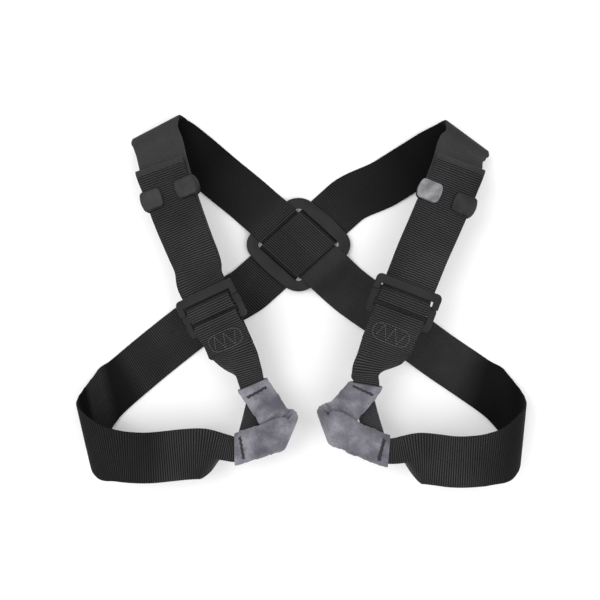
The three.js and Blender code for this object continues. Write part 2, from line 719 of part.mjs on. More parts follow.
// The webbing from the buckle's lower bar through the chest loop, round the side and to the ring
function chestRoute(side) {
  const sewn = buckleStations(side, [
    [LOWER_BAR_END + STITCHED_LENGTH, 0],
    [LOWER_BAR_END, 0],
    ...barTurn(LOWER_BAR_TOP + LAYER_GAP, -1).reverse(),
    [LOWER_BAR_END, FRAME_MIDDLE + BAR_TURN],
    [LOWER_BAR_END + STITCHED_LENGTH * 0.19, (FRAME_MIDDLE + BAR_TURN + LAYER_STEP) / 2],
    [LOWER_BAR_END + STITCHED_LENGTH * 0.36, LAYER_STEP],
    [LOWER_BAR_END + STITCHED_LENGTH * 0.9, LAYER_STEP],
  ]);
  const upper = UPPER_ARM[side].map(station).reverse();
  const lower = LOWER_ARM[side].map(station).reverse();
  upper[0].mark = "upper mouth";
  lower[lower.length - 1].mark = "lower mouth";
  const bend = SIDE_BEND[side];
  const turn = halfTurn({
    enter: place(bend.enter),
    leave: place(bend.leave),
    out: heading(bend.out),
    depth: SIDE_BEND_DEPTH,
    rulings: bend.rulings.map(heading),
    haste: bend.haste,
    steps: 8,
  });
  const shoulder = OTHER[side];
  const toRing = weave(ringSide(shoulder, -1), shoulder === "left", ringSide(side, 1)).reverse();
  return followRoute([
    ...sewn,
    ...OPENING_OUT[side].map(station).reverse(),
    ...upper,
    ...loopTip(side),
    ...lower,
    ...TORSO_STRAP[side].map(station).reverse(),
    ...turn.reverse(),
    ...LOWER_BACK[side].map(station).reverse(),
    ...toRing,
  ]);
}

function loopTip(side) {
  const tip = LOOP_TIP[side];
  const towards = vec(-HAND[side], 0, 0);
  const stations = foldOver(tip, tip.reach, tip.height * LOFT, { towards, rising: 1, fold: 1 });
  stations[stations.length / 2 - 0.5].mark = "tip";
  return stations;
}

const marked = (frames, name) => frames.find((frame) => frame.mark === name).length;

// The sleeve follows the folded webbing from one mouth to the other
const FOLDED_WIDTH = HALF_WIDTH - CREASE_ARC / 2 + CREASE_RADIUS + HALF_THICKNESS;
const FOLDED_MIDDLE = FOLDED_WIDTH / 2 - HALF_THICKNESS;
const FOLDED_HALF_HEIGHT = CREASE_RADIUS + HALF_THICKNESS;

function flatTubeSection(halfWidth, halfHeight, corner, middle) {
  const quarter = [
    [halfWidth, halfHeight - corner],
    [halfWidth - corner, halfHeight],
  ];
  const half = [...quarter, ...quarter.map(([a, h]) => [-a, h]).reverse()];
  const whole = [...half, ...half.map(([a, h]) => [-a, -h])];
  return whole.map(([a, h]) => [middle + a, h]);
}

function loopSleeve(side, frames) {
  const middle = HAND[side] * FOLDED_MIDDLE;
  const width = FOLDED_WIDTH / 2 + SLEEVE_EASE;
  const height = FOLDED_HALF_HEIGHT + LAYER_GAP * 2;
  const corner = SLEEVE_EASE * 0.8;
  const section = (extra) => () => flatTubeSection(width + extra, height + extra, corner + extra / 2, middle);
  return loftTube(frames, section(SLEEVE_WALL), section(0));
}

// The closing tape lies against the backs of both sleeve arms, near their mouths, and sags between them
function loopTape(side, frames) {
  const drop = FOLDED_HALF_HEIGHT + 5 * LAYER_GAP + SLEEVE_WALL + TAPE_THICKNESS / 2;
  const middle = HAND[side] * FOLDED_MIDDLE;
  const upper = frameAt(frames, frames[0].length + TAPE_WIDTH * 0.7);
  const lower = frameAt(frames, frames[frames.length - 1].length - TAPE_WIDTH * 0.7);
  const top = inFrame(upper, middle, -drop);
  const foot = inFrame(lower, middle, drop);
  const run = foot.clone().sub(top).setZ(0).normalize();
  const within = (line, normal) => line.clone().addScaledVector(normal, -line.dot(normal));
  const lie = (point, shift, normal) => ({
    at: point.clone().addScaledVector(within(run, normal), shift),
    ruling: within(vec(run.y, -run.x, 0), normal).normalize(),
  });
  const middleUp = upper.up.clone().sub(lower.up).normalize();
  const low = top.clone().add(foot).multiplyScalar(0.5).addScaledVector(UP, -TAPE_SAG);
  const stations = [
    lie(top, -TAPE_WIDTH * 0.2, upper.up),
    lie(top, TAPE_WIDTH * 0.2, upper.up),
    lie(low, 0, middleUp),
    lie(foot, -TAPE_WIDTH * 0.2, lower.up),
    lie(foot, TAPE_WIDTH * 0.2, lower.up),
  ];
  return loft(followRoute(stations), () => flatSection(TAPE_WIDTH, TAPE_THICKNESS));
}

// A clip round the main strap and the tail: a back, two sides and two fingers on the front
function strapKeeper(side, main) {
  const { keeper, aside } = TAIL[side];
  const middle = keeper * main[main.length - 1].length;
  const within = between(main, middle - KEEPER_LENGTH / 2, middle + KEEPER_LENGTH / 2);
  const frames = within.map((frame) => ({ ...frame, up: frame.up.clone().negate() }));
  const low = -HALF_THICKNESS - LAYER_GAP;
  const high = HALF_THICKNESS + LAYER_STEP + LAYER_GAP;
  const left = -HALF_WIDTH - Math.max(0, -aside) * WEBBING_WIDTH - 2 * LAYER_GAP;
  const right = HALF_WIDTH + Math.max(0, aside) * WEBBING_WIDTH + 2 * LAYER_GAP;
  const wall = KEEPER_WALL;
  const line = (grow, corner) => [
    [left + KEEPER_FINGER - grow * 0.3, high + grow],
    [left - grow + corner, high + grow],
    [left - grow, high + grow - corner],
    [left - grow, low - grow + corner],
    [left - grow + corner, low - grow],
    [right + grow - corner, low - grow],
    [right + grow, low - grow + corner],
    [right + grow, high + grow - corner],
    [right + grow - corner, high + grow],
    [right - KEEPER_FINGER + grow * 0.3, high + grow],
  ];
  const section = [...line(wall, wall * 0.6), ...line(0, LAYER_GAP).reverse()];
  return loft(frames, () => section);
}

// Materials
const webbing = () => new THREE.MeshStandardMaterial({ color: 0x1b1b1d, roughness: 0.85 });
const sleeveCloth = () => new THREE.MeshStandardMaterial({ color: 0x77757f, roughness: 0.9 });
const darkMetal = () => new THREE.MeshStandardMaterial({ color: 0x2b2c2e, roughness: 0.5, metalness: 0.6 });
const plastic = () => new THREE.MeshStandardMaterial({ color: 0x2f3032, roughness: 0.45 });

const harness = new THREE.Group();
function add(name, geometry, material) {
  const mesh = new THREE.Mesh(geometry, material);
  mesh.name = name;
  harness.add(mesh);
  return mesh;
}

add("back_ring", backRing(), darkMetal());
for (const side of ["left", "right"]) {
  const main = followRoute(mainStations(side));
  const chest = chestRoute(side);
  const tip = marked(chest, "tip");
  const end = chest[chest.length - 1].length;
  const sleeve = between(chest, marked(chest, "upper mouth"), marked(chest, "lower mouth"));
  const flat = () => flatSection(WEBBING_WIDTH, WEBBING_THICKNESS);
  const folded = (behind) => (frame) => foldedSection(frame.fold, HAND[side], behind);
  add("shoulder_strap_" + side, loft(shoulderFrames(side, main), flat), webbing());
  add("side_strap_" + side, loft(between(chest, tip + LAYER_GAP, end), folded(-1)), webbing());
  add("loop_strap_" + side, loft(between(chest, 0, tip - LAYER_GAP), folded(1)), webbing());
  add("loop_sleeve_" + side, loopSleeve(side, sleeve), sleeveCloth());
  add("loop_tape_" + side, loopTape(side, sleeve), webbing());
  add("strap_keeper_" + side, strapKeeper(side, main), plastic());
  const frame = buckleFrame(side);
  const buckle = add("ladder_buckle_" + side, ladderBuckle(), darkMetal());
  const axes = [frame.across.clone().negate(), frame.along.clone().negate(), frame.up];
  buckle.applyMatrix4(new THREE.Matrix4().makeBasis(...axes).setPosition(frame.at));
}

// The origin is the bottom centre of the whole harness
const box = new THREE.Box3().setFromObject(harness, true);
const centre = box.getCenter(vec(0, 0, 0));
harness.position.set(-centre.x, -centre.y, -box.min.z);

export default harness;
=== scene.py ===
"""Climbing chest harness of flat webbing, lying front side up, dressed round its CAD frame."""

import math

import bmesh
import bpy
import numpy as np
from mathutils import Matrix, Vector


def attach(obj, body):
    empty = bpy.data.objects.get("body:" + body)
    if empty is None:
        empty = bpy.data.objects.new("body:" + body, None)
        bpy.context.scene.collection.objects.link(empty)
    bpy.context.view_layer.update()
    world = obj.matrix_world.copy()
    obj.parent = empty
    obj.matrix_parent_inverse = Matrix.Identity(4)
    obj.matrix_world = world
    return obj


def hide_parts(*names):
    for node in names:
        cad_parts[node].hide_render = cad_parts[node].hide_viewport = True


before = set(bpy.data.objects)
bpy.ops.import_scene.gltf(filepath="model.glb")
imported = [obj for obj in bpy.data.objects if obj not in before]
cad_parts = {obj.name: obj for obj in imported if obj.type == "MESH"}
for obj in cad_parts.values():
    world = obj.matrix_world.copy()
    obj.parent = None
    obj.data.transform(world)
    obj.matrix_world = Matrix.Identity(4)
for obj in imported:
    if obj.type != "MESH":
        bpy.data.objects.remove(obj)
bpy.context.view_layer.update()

# Lie of the harness in millimetres: the lengths that the route tables are shares of
SPAN = 416.0
LENGTH = 340.0
LOFT = 46.0
# From the centre of the ring to the frame's origin
SHIFT = Vector((-2.208, 48.044, 0.180))

# Webbing
WEBBING_WIDTH = 45.0
WEBBING_THICKNESS = 1.8
LAYER_GAP = 0.3
LAYER_STEP = WEBBING_THICKNESS + LAYER_GAP
HALF_WIDTH = WEBBING_WIDTH / 2
HALF_THICKNESS = WEBBING_THICKNESS / 2
RIB_PITCH = 2.0
RIB_DEPTH = 0.2
RIB_SAMPLES = 4
SELVEDGE = 0.9
# The smooth face has flatter ribs, and lies beyond this place on the cloth's map
SMOOTH_SHARE = 0.3
SMOOTH_PLACE = 100.0

# How far along the strap the ends of its side bend are rounded
SOFT_SPREAD = 6.0
SOFT_REACH = 14.0

# Bends of the webbing
SHOULDER_FOLD_DEPTH = 6.0
SHOULDER_FOLD_HEIGHT = 12.0
SIDE_BEND_DEPTH = 16.5
LOOP_FOLD_DEPTH = 5.5
HEM_LENGTH = 8.0
PLAIN_HEM = 2.0 * HEM_LENGTH

# Back ring
RING_BAR = 11.2
RING_THICKNESS = 3.0
RING_CLEARANCE = 4.0
RING_CORNER_RADIUS = 17.0
RING_BULGE = 1.4
RING_EDGE_ROUND = 0.9
RING_TURN = 42.0

# Ladder buckle
BUCKLE_PLATE = 2.6
BUCKLE_RAISED_BAR = 8.0
BUCKLE_SLOT = 4.2
BUCKLE_MIDDLE_BAR = 9.1
BUCKLE_WEBBING_GAP = 7.2
BUCKLE_LOWER_BAR = 6.5
STITCHED_LENGTH = 24.0

# Loop sleeve, and its creases as waves: pitch, lean round the tube and height
SLEEVE_WALL = 1.2
SLEEVE_EASE = 1.4
SLEEVE_HEM = 3.4
SLEEVE_HEM_RISE = 0.45
SLEEVE_SQUARENESS = 0.55
SLEEVE_CREASES = ((13.0, 0.7, 0.42), (7.5, -1.3, 0.3), (4.6, 2.1, 0.18))
CREASE_SEED = {"left": 3.1, "right": 8.7}

# Bar tacks of the sleeve, and the zigzag strokes that make one
SLEEVE_TACK = 8.5
TACK_DENT = 0.3
TACK_HALF = 9.5
TACK_STROKES = 34
TACK_STROKE = 1.4
TACK_UNEVEN = 0.35
TACK_THREAD = 0.46

# Closing tape
TAPE_WIDTH = 18.0
TAPE_THICKNESS = 1.4
TAPE_SAG = 6.0
TAPE_RIB = 1.4
TAPE_RIB_DEPTH = 0.1
TAPE_EDGE = 0.7

# Strap keeper: its walls bulge in the middle and taper to its ends
KEEPER_WALL = 2.2
KEEPER_LENGTH = 18.0
KEEPER_FINGER = 19.0
KEEPER_CORNER = 3.5
KEEPER_RIM = 2.0
KEEPER_BULGE = 0.9
KEEPER_TAPER = 2.2
KEEPER_LEAST_WALL = 0.3
KEEPER_TOP_ROUND = 2.4
KEEPER_FOOT_ROUND = 1.5
FINGER_TAPER = 1.5
FINGER_END_ROUND = 1.2
FINGER_SIDE = 0.75
FINGER_ROOT = 5.0

UP = Vector((0, 0, 1))
SIDES = ("left", "right")
HAND = {"left": -1, "right": 1}
OTHER = {"left": "right", "right": "left"}


def row(x, y, z, roll=0.0, fold=0.0, line=None):
    """One station of a route: shares of the span, the length and the loft."""
    at = Vector((x * SPAN, y * LENGTH, z * LOFT + HALF_THICKNESS))
    return {"at": at, "roll": roll, "fold": fold, "ruling": None if line is None else heading(line)}


def heading(angle):
    """The level direction at an angle from +X, in degrees."""
    return Vector((math.cos(math.radians(angle)), math.sin(math.radians(angle)), 0))


# Main shoulder straps, from above the buckle up to the shoulder fold
MAIN_STRAP = {
    "left": [
        row(-0.211, -0.066, 0.87, roll=20),
        row(-0.227, -0.014, 0.85, roll=18),
        row(-0.248, 0.052, 0.83, roll=14),
        row(-0.269, 0.126, 0.8, roll=11),
        row(-0.289, 0.201, 0.7, roll=7),
        row(-0.302, 0.252, 0.5, roll=2),
    ],
    "right": [
        row(0.261, -0.03, 0.9),
        row(0.28, 0.023, 0.88),
        row(0.3, 0.08, 0.86),
        row(0.321, 0.141, 0.82),
        row(0.341, 0.204, 0.72),
        row(0.353, 0.246, 0.53),
    ],
}

# Shoulder folds: middle of the outermost line, its direction, and the drift along it
SHOULDER_FOLD = {
    "left": {"at": (-0.314, 0.317, 0.2), "line": 27.6, "drift": 7.8},
    "right": {"at": (0.372, 0.294, 0.2), "line": -36.6, "drift": -7.8},
}

# Back straps on both sides of the ring
UPPER_BACK = {
    "left": [row(-0.257, 0.269, 0.06), row(-0.173, 0.184, 0.006)],
    "right": [row(0.296, 0.247, 0.06), row(0.197, 0.172, 0.006)],
}
LOWER_BACK = {
    "left": [
        row(-0.188, -0.177, 0),
        row(-0.312, -0.291, 0),
        row(-0.374, -0.354, 0, line=-60),
        row(-0.41, -0.392, 0, line=-73),
    ],
    "right": [
        row(0.206, -0.205, 0),
        row(0.312, -0.301, 0),
        row(0.395, -0.37, 0, line=-113),
        row(0.43, -0.4, 0, line=-98),
    ],
}

# Side bends: where the strap enters on the floor and leaves on top, and the rulings of both ends
SIDE_BEND = {
    "left": {
        "enter": (-0.427, -0.411, 0.01),
        "leave": (-0.427, -0.543, 0.81),
        "out": 192,
        "rulings": (-79, -76),
        "haste": 0.05,
    },
    "right": {
        "enter": (0.446, -0.415, 0.01),
        "leave": (0.446, -0.543, 0.92),
        "out": -4,
        "rulings": (-93, -97),
        "haste": 0.1,
    },
}

# Torso straps from the side bend to the loop sleeve, where they fold in two
TORSO_STRAP = {
    "left": [
        row(-0.388, -0.556, 0.82, line=-82),
        row(-0.357, -0.561, 0.83, line=-89),
        row(-0.315, -0.562, 0.83),
        row(-0.272, -0.557, 0.83),
        row(-0.23, -0.552, 0.83),
        row(-0.202, -0.552, 0.83),
        row(-0.177, -0.56, 0.82, fold=0.24),
        row(-0.156, -0.567, 0.81, fold=0.62),
    ],
    "right": [
        row(0.4, -0.562, 0.95, line=-96),
        row(0.36, -0.568, 0.96, line=-92),
        row(0.323, -0.568, 0.96),
        row(0.283, -0.562, 0.95),
        row(0.256, -0.56, 0.94),
        row(0.231, -0.566, 0.92, fold=0.28),
        row(0.21, -0.572, 0.9, fold=0.66),
    ],
}

# Creases inside the sleeves
LOWER_ARM = {
    "left": [
        row(-0.135, -0.571, 0.81, fold=1),
        row(-0.103, -0.56, 0.81, fold=1),
        row(-0.065, -0.546, 0.8, fold=1),
    ],
    "right": [
        row(0.189, -0.573, 0.89, fold=1),
        row(0.162, -0.565, 0.87, fold=1),
        row(0.135, -0.551, 0.85, fold=1),
        row(0.109, -0.54, 0.83, fold=1),
    ],
}
LOOP_TIP = {
    "left": {"at": (-0.035, -0.533, 0.7), "line": -113, "drift": 10, "reach": 1, "height": 0.19},
    "right": {"at": (0.071, -0.519, 0.72), "line": -70, "drift": 11, "reach": 1.25, "height": 0.21},
}
UPPER_ARM = {
    "left": [
        row(-0.07, -0.483, 0.66, fold=1),
        row(-0.088, -0.447, 0.73, fold=1),
        row(-0.105, -0.415, 0.79, fold=1),
        row(-0.121, -0.383, 0.83, fold=1),
    ],
    "right": [
        row(0.111, -0.471, 0.68, fold=1),
        row(0.133, -0.439, 0.75, fold=1),
        row(0.154, -0.407, 0.82, fold=1),
        row(0.169, -0.375, 0.87, fold=1),
    ],
}
OPENING_OUT = {
    "left": [row(-0.129, -0.347, 0.86, fold=0.4), row(-0.137, -0.309, 0.89, fold=0.22)],
    "right": [row(0.166, -0.345, 0.89, fold=0.4), row(0.176, -0.308, 0.91, fold=0.18)],
}

# Ladder buckles, adjuster tails and keepers
BUCKLE_SEAT = {
    "left": {"at": (-0.198, -0.126, 0.9), "heading": -66, "roll": 20},
    "right": {"at": (0.235, -0.111, 0.93), "heading": -111, "roll": 0},
}
TAIL = {
    "left": {"hem": 0.69, "keeper": 0.545, "aside": 0.07},
    "right": {"hem": 0.71, "keeper": 0.52, "aside": -0.045},
}


def place(shares):
    """The point at shares of the span, the length and the loft."""
    return row(*shares)["at"]


def leaning(along, roll):
    """The line across a strap that runs along a direction and leans to its -X side."""
    level = Vector((along.y, -along.x, 0)).normalized()
    if level.x > 0:
        level.negate()
    return level * math.cos(math.radians(roll)) - UP * math.sin(math.radians(roll))


def with_tangents(stations):
    """The stations with their directions and their lines across."""
    last = len(stations) - 1
    chords = [(stations[i + 1]["at"] - stations[i]["at"]) for i in range(last)]
    gaps = [chord.length for chord in chords]
    chords = [chord.normalized() for chord in chords]
    rows = []
    before = None
    for i, station in enumerate(stations):
        along = chords[min(i, last - 1)].copy()
        if 0 < i < last:
            along = (chords[i - 1] * gaps[i] + chords[i] * gaps[i - 1]) / (gaps[i] + gaps[i - 1])
        given = station.get("ruling")
        ruling = given.copy() if given is not None else leaning(along, station.get("roll", 0))
        level = Vector((along.y, -along.x, 0))
        wanted = before if before is not None else (ruling if given is not None else level)
        if ruling.dot(wanted) < 0:
            ruling.negate()
        before = ruling
        rows.append({**station, "fold": station.get("fold", 0), "along": along, "ruling": ruling})
    return rows


def follow_route(stations, turn=3.0):
    """Sections along a smooth curve through the stations."""
    rows = with_tangents(stations)
    frames = []
    for i in range(len(rows) - 1):
        a, b = rows[i], rows[i + 1]
        chord = b["at"] - a["at"]
        span = chord.length
        bend = a["along"].angle(chord) + chord.angle(b["along"]) + a["ruling"].angle(b["ruling"])
        steps = max(2, math.ceil(bend / math.radians(turn)), math.ceil(abs(a["fold"] - b["fold"]) * 16))
        for k in range(0 if i == 0 else 1, steps + 1):
            u = k / steps
            at = a["at"] * (2 * u**3 - 3 * u**2 + 1) + b["at"] * (3 * u**2 - 2 * u**3)
            at += a["along"] * (span * (u**3 - 2 * u**2 + u)) + b["along"] * (span * (u**3 - u**2))
            along = chord * ((6 * u - 6 * u**2) / span)
            along += a["along"] * (3 * u**2 - 4 * u + 1) + b["along"] * (3 * u**2 - 2 * u)
            along.normalize()
            across = a["ruling"].lerp(b["ruling"], u).normalized()
            up = across.cross(along)
            across = across / up.length
            mark = a.get("mark") if k == 0 else b.get("mark") if k == steps else None
            fold = a["fold"] + (b["fold"] - a["fold"]) * u
            item = {"at": at, "along": along, "across": across, "up": up.normalized()}
            frames.append({**item, "fold": fold, "mark": mark})
    return measured(frames)


def measured(frames):
    """The frames with each one's distance along the route."""
    length = 0.0
    for i, item in enumerate(frames):
        if i:
            length += (item["at"] - frames[i - 1]["at"]).length
        item["length"] = length
    return frames


def frame_at(frames, distance):
    """The section at a distance along a route."""
    i = next((k for k, item in enumerate(frames) if item["length"] >= distance), len(frames) - 1)
    a, b = frames[max(i, 1) - 1], frames[max(i, 1)]
    u = (distance - a["length"]) / (b["length"] - a["length"])
    found = {key: a[key].lerp(b[key], u) for key in ("at", "along", "across", "up")}
    return {**found, "fold": a["fold"] + (b["fold"] - a["fold"]) * u, "length": distance}


def between(frames, start, end):
    """The part of a route between two distances."""
    inner = [item for item in frames if start + LAYER_GAP < item["length"] < end - LAYER_GAP]
    return [frame_at(frames, start), *inner, frame_at(frames, end)]


def in_frame(item, across, up, along=0.0):
    return item["at"] + item["across"] * across + item["up"] * up + item["along"] * along


def half_turn(enter, leave, out, depth, rulings, haste=0.0, fold=0.0, steps=6):
    """A strap's half-turn round a fold line."""
    mean = (rulings[0] + rulings[1]).normalized()
    across = leave - enter
    drift = across.dot(mean)
    across = across - mean * drift
    stations = []
    for k in range(steps + 1):
        u = k / steps
        at = enter + mean * (drift * (u + haste * u * (1 - u)))
        at += across * ((1 - math.cos(math.pi * u)) / 2) + out * (depth * math.sin(math.pi * u))
        stations.append({"at": at, "ruling": rulings[0].lerp(rulings[1], u), "fold": fold})
    return stations


def fold_over(spec, depth, height, towards, rising, fold=0.0):
    """A half-turn round a straight fold line whose outermost middle is given."""
    line = heading(spec["line"])
    out = Vector((line.y, -line.x, 0))
    if out.dot(towards) < 0:
        out.negate()
    middle = place(spec["at"]) - out * depth

    def end(side):
        return middle + line * (side * spec["drift"] / 2) + UP * (rising * side * height / 2)

    return half_turn(end(-1), end(1), out, depth, [line, line], fold=fold)


# How the straps weave through the ring
RING_OPENING_HALF = HALF_WIDTH + RING_CLEARANCE
RING_HALF = RING_OPENING_HALF + RING_BAR
RING_BOTTOM = WEBBING_THICKNESS + LAYER_GAP + 0.1
OVER_BAR = RING_BOTTOM + RING_THICKNESS + LAYER_GAP + HALF_THICKNESS
UNDER_CROSSING = HALF_THICKNESS + WEBBING_THICKNESS
OVER_CROSSING = UNDER_CROSSING + LAYER_STEP


def weave(direction, over, bars):
    """Stations from the crossing out through the ring, over or under its bar."""
    middle =UNDER_CROSSING if over else OVER_CROSSING
    bar = OVER_BAR if over else HALF_THICKNESS

    def rise(share):
        return middle + (bar - middle) * share

    rows = [
        (LAYER_GAP / 2, middle),
        (HALF_WIDTH * 0.9, middle),
        (HALF_WIDTH + RING_CLEARANCE * 0.08, rise(0.01)),
        (HALF_WIDTH + RING_CLEARANCE * 0.3, rise(0.18)),
        (HALF_WIDTH + RING_CLEARANCE * 0.51, rise(0.5)),
        (HALF_WIDTH + RING_CLEARANCE * 0.72, rise(0.82)),
        (HALF_WIDTH + RING_CLEARANCE * 0.96, rise(0.99)),
        (RING_OPENING_HALF + RING_BAR * 0.12, bar),
        (RING_HALF + RING_BULGE * 0.4, bar),
        (RING_HALF + RING_BAR * 0.3, bar * 0.8 + HALF_THICKNESS * 0.2),
        (RING_HALF + RING_BAR * 0.8, bar * 0.3 + HALF_THICKNESS * 0.7),
        (RING_HALF + RING_BAR * 1.4, HALF_THICKNESS * 1.1),
        (RING_HALF + RING_BAR * 1.7, HALF_THICKNESS),
    ]
    skew = direction.cross(bars).length
    return [{"at": direction * (away / skew) + UP * height, "ruling": bars.copy()} for away, height in rows]


def ring_side(side, towards_shoulder):
    slope = 180 - RING_TURN if side == "left" else RING_TURN
    return heading(slope) * towards_shoulder


# Places in a ladder buckle: distances along the strap and heights above it
MIDDLE_BAR_TOP = BUCKLE_RAISED_BAR + BUCKLE_SLOT
MIDDLE_BAR_END = MIDDLE_BAR_TOP + BUCKLE_MIDDLE_BAR
LOWER_BAR_TOP = MIDDLE_BAR_END + BUCKLE_WEBBING_GAP
LOWER_BAR_END = LOWER_BAR_TOP + BUCKLE_LOWER_BAR
FRAME_BOTTOM = HALF_THICKNESS + LAYER_GAP
FRAME_MIDDLE = FRAME_BOTTOM + BUCKLE_PLATE / 2
FRAME_TOP = FRAME_BOTTOM + BUCKLE_PLATE
BAR_TURN = BUCKLE_PLATE / 2 + LAYER_GAP + HALF_THICKNESS


def buckle_frame(side):
    spec = BUCKLE_SEAT[side]
    along = heading(spec["heading"])
    across = Matrix.Rotation(math.radians(spec["roll"]), 3, along) @ Vector((along.y, -along.x, 0))
    return {"at": place(spec["at"]), "along": along, "across": across, "up": across.cross(along)}


def buckle_stations(side, rows):
    seat = buckle_frame(side)
    return [{"at": in_frame(seat, 0, up, along), "ruling": seat["across"].copy()} for along, up in rows]


def bar_turn(centre, direction):
    """Distances and heights of a half-turn round a bar of the buckle."""
    angles = [math.pi * u for u in (0, 0.25, 0.5, 0.75, 1)]
    reach = direction * BAR_TURN
    return [(centre + reach * math.sin(t), FRAME_MIDDLE + BAR_TURN * math.cos(t)) for t in angles]


def main_stations(side):
    fold = fold_over(SHOULDER_FOLD[side], SHOULDER_FOLD_DEPTH, SHOULDER_FOLD_HEIGHT, Vector((0, 1, 0)), -1)
    seat = buckle_stations(side, [(MIDDLE_BAR_TOP, 0), (0, 0), (-BUCKLE_RAISED_BAR, 0)])
    return [*seat, *MAIN_STRAP[side], *fold]


def tail_frame(side, main, distance, layers, whole):
    """A section of the adjuster tail, which lies on the main strap."""
    spec = TAIL[side]
    item = frame_at(main, distance)
    share = min(1, distance / (spec["hem"] * whole))
    at = in_frame(item, spec["aside"] * share * WEBBING_WIDTH, -layers * LAYER_STEP)
    return {**item, "at": at, "up": -item["up"], "ruling": item["across"].copy()}


def shoulder_frames(side, main):
    """The whole shoulder strap from its turned-under hem to the ring."""
    whole = main[-1]["length"]
    top = TAIL[side]["hem"] * whole

    def lay(distance, layers):
        return tail_frame(side, main, distance, layers, whole)

    hem = [lay(top - HEM_LENGTH, 1), lay(top - HEM_LENGTH / 2, 1)]
    for u in (0, 0.25, 0.5, 0.75, 1):
        around = top - LAYER_STEP / 2 + (LAYER_STEP / 2) * math.sin(math.pi * u)
        hem.append(lay(around, 1.5 - math.cos(math.pi * u) / 2))
    hem.append(lay(top - HEM_LENGTH, 2))
    hem.append(lay(top - HEM_LENGTH * 1.5, 1.6))
    lying = top - HEM_LENGTH * 2.1
    rest = MIDDLE_BAR_TOP + BUCKLE_RAISED_BAR * 0.5
    hem.append(lay(lying, 1))
    tail = [lay(item["length"], 1) for item in reversed(between(main, rest, lying)[:-1])]
    bar = buckle_stations(
        side,
        [
            (BUCKLE_RAISED_BAR * 0.15, LAYER_STEP),
            (BUCKLE_RAISED_BAR * 0.88, LAYER_STEP),
            (BUCKLE_RAISED_BAR + BUCKLE_SLOT * 0.19, LAYER_STEP + LAYER_GAP),
            (BUCKLE_RAISED_BAR + BUCKLE_SLOT * 0.62, FRAME_TOP + LAYER_GAP / 2),
            (MIDDLE_BAR_TOP - LAYER_GAP, FRAME_TOP + LAYER_GAP + HALF_THICKNESS),
            *bar_turn(MIDDLE_BAR_END - LAYER_GAP, 1),
        ],
    )
    to_ring = weave(ring_side(side, 1), side == "left", ring_side(OTHER[side], 1))[::-1]
    onward = follow_route([*bar, *main_stations(side), *UPPER_BACK[side], *to_ring])
    return measured([dict(item) for item in [*follow_route(hem), *tail, *onward]])


def loop_tip(side):
    tip = LOOP_TIP[side]
    depth = tip["reach"] * LOOP_FOLD_DEPTH
    stations = fold_over(tip, depth, tip["height"] * LOFT, Vector((-HAND[side], 0, 0)), 1, fold=1.0)
    stations[len(stations) // 2]["mark"] = "tip"
    return stations


def chest_route(side):
    """The webbing from the buckle's lower bar through the chest loop, round the side and to the ring."""
    sewn = buckle_stations(
        side,
        [
            (LOWER_BAR_END + STITCHED_LENGTH, 0),
            (LOWER_BAR_END, 0),
            *bar_turn(LOWER_BAR_TOP + LAYER_GAP, -1)[::-1],
            (LOWER_BAR_END, FRAME_MIDDLE + BAR_TURN),
            (LOWER_BAR_END + STITCHED_LENGTH * 0.19, (FRAME_MIDDLE + BAR_TURN + LAYER_STEP) / 2),
            (LOWER_BAR_END + STITCHED_LENGTH * 0.36, LAYER_STEP),
            (LOWER_BAR_END + STITCHED_LENGTH * 0.9, LAYER_STEP),
        ],
    )
    upper = [dict(item) for item in UPPER_ARM[side][::-1]]
    lower = [dict(item) for item in LOWER_ARM[side][::-1]]
    upper[0]["mark"] = "upper mouth"
    lower[-1]["mark"] = "lower mouth"
    bend = SIDE_BEND[side]
    rulings = [heading(angle) for angle in bend["rulings"]]
    ends = place(bend["enter"]), place(bend["leave"])
    turn = half_turn(*ends, heading(bend["out"]), SIDE_BEND_DEPTH, rulings, bend["haste"], steps=8)
    turn[0]["mark"] = turn[-1]["mark"] = "bend end"
    shoulder = OTHER[side]
    to_ring = weave(ring_side(shoulder, -1), shoulder == "left", ring_side(side, 1))[::-1]
    return follow_route(
        [
            *sewn,
            *OPENING_OUT[side][::-1],
            *upper,
            *loop_tip(side),
            *lower,
            *TORSO_STRAP[side][::-1],
            *turn[::-1],
            *LOWER_BACK[side][::-1],
            *to_ring,
        ]
    )


def marked(frames, name):
    return next(item["length"] for item in frames if item.get("mark") == name)


class Lay:
    """A route resampled at even steps, as arrays."""

    def __init__(self, frames, step):
        length = np.array([item["length"] for item in frames])
        self.start = length[0]
        self.total = length[-1] - length[0]
        count = max(3, int(round(self.total / step)) + 1)
        self.distance = np.linspace(length[0], length[-1], count)
        for key in ("at", "along", "across", "up"):
            rows = np.array([item[key][:] for item in frames])
            columns = [np.interp(self.distance, length, rows[:, k]) for k in range(3)]
            setattr(self, key, np.column_stack(columns))
        self.fold = np.interp(self.distance, length, [item["fold"] for item in frames])

    def soften(self, middle):
        """Rounds the strap's course near a distance along it."""
        step = self.distance[1] - self.distance[0]
        reach = int(3 * SOFT_SPREAD / step)
        kernel = np.exp(-0.5 * (np.arange(-reach, reach + 1) * step / SOFT_SPREAD) ** 2)
        kernel /= kernel.sum()
        share = np.exp(-(((self.distance - middle) / SOFT_REACH) ** 2))[:, None]
        for key in ("at", "along", "across", "up"):
            rows = getattr(self, key)
            padded = np.pad(rows, ((reach, reach), (0, 0)), mode="edge")
            even = np.column_stack([np.convolve(padded[:, k], kernel, mode="valid") for k in range(3)])
            setattr(self, key, rows + (even - rows) * share)

    def points(self, a, h):
        """Points [count, sides, 3] for arrays of places across and heights."""
        return self.at[:, None] + self.across[:, None] * a[:, :, None] + self.up[:, None] * h[:, :, None]


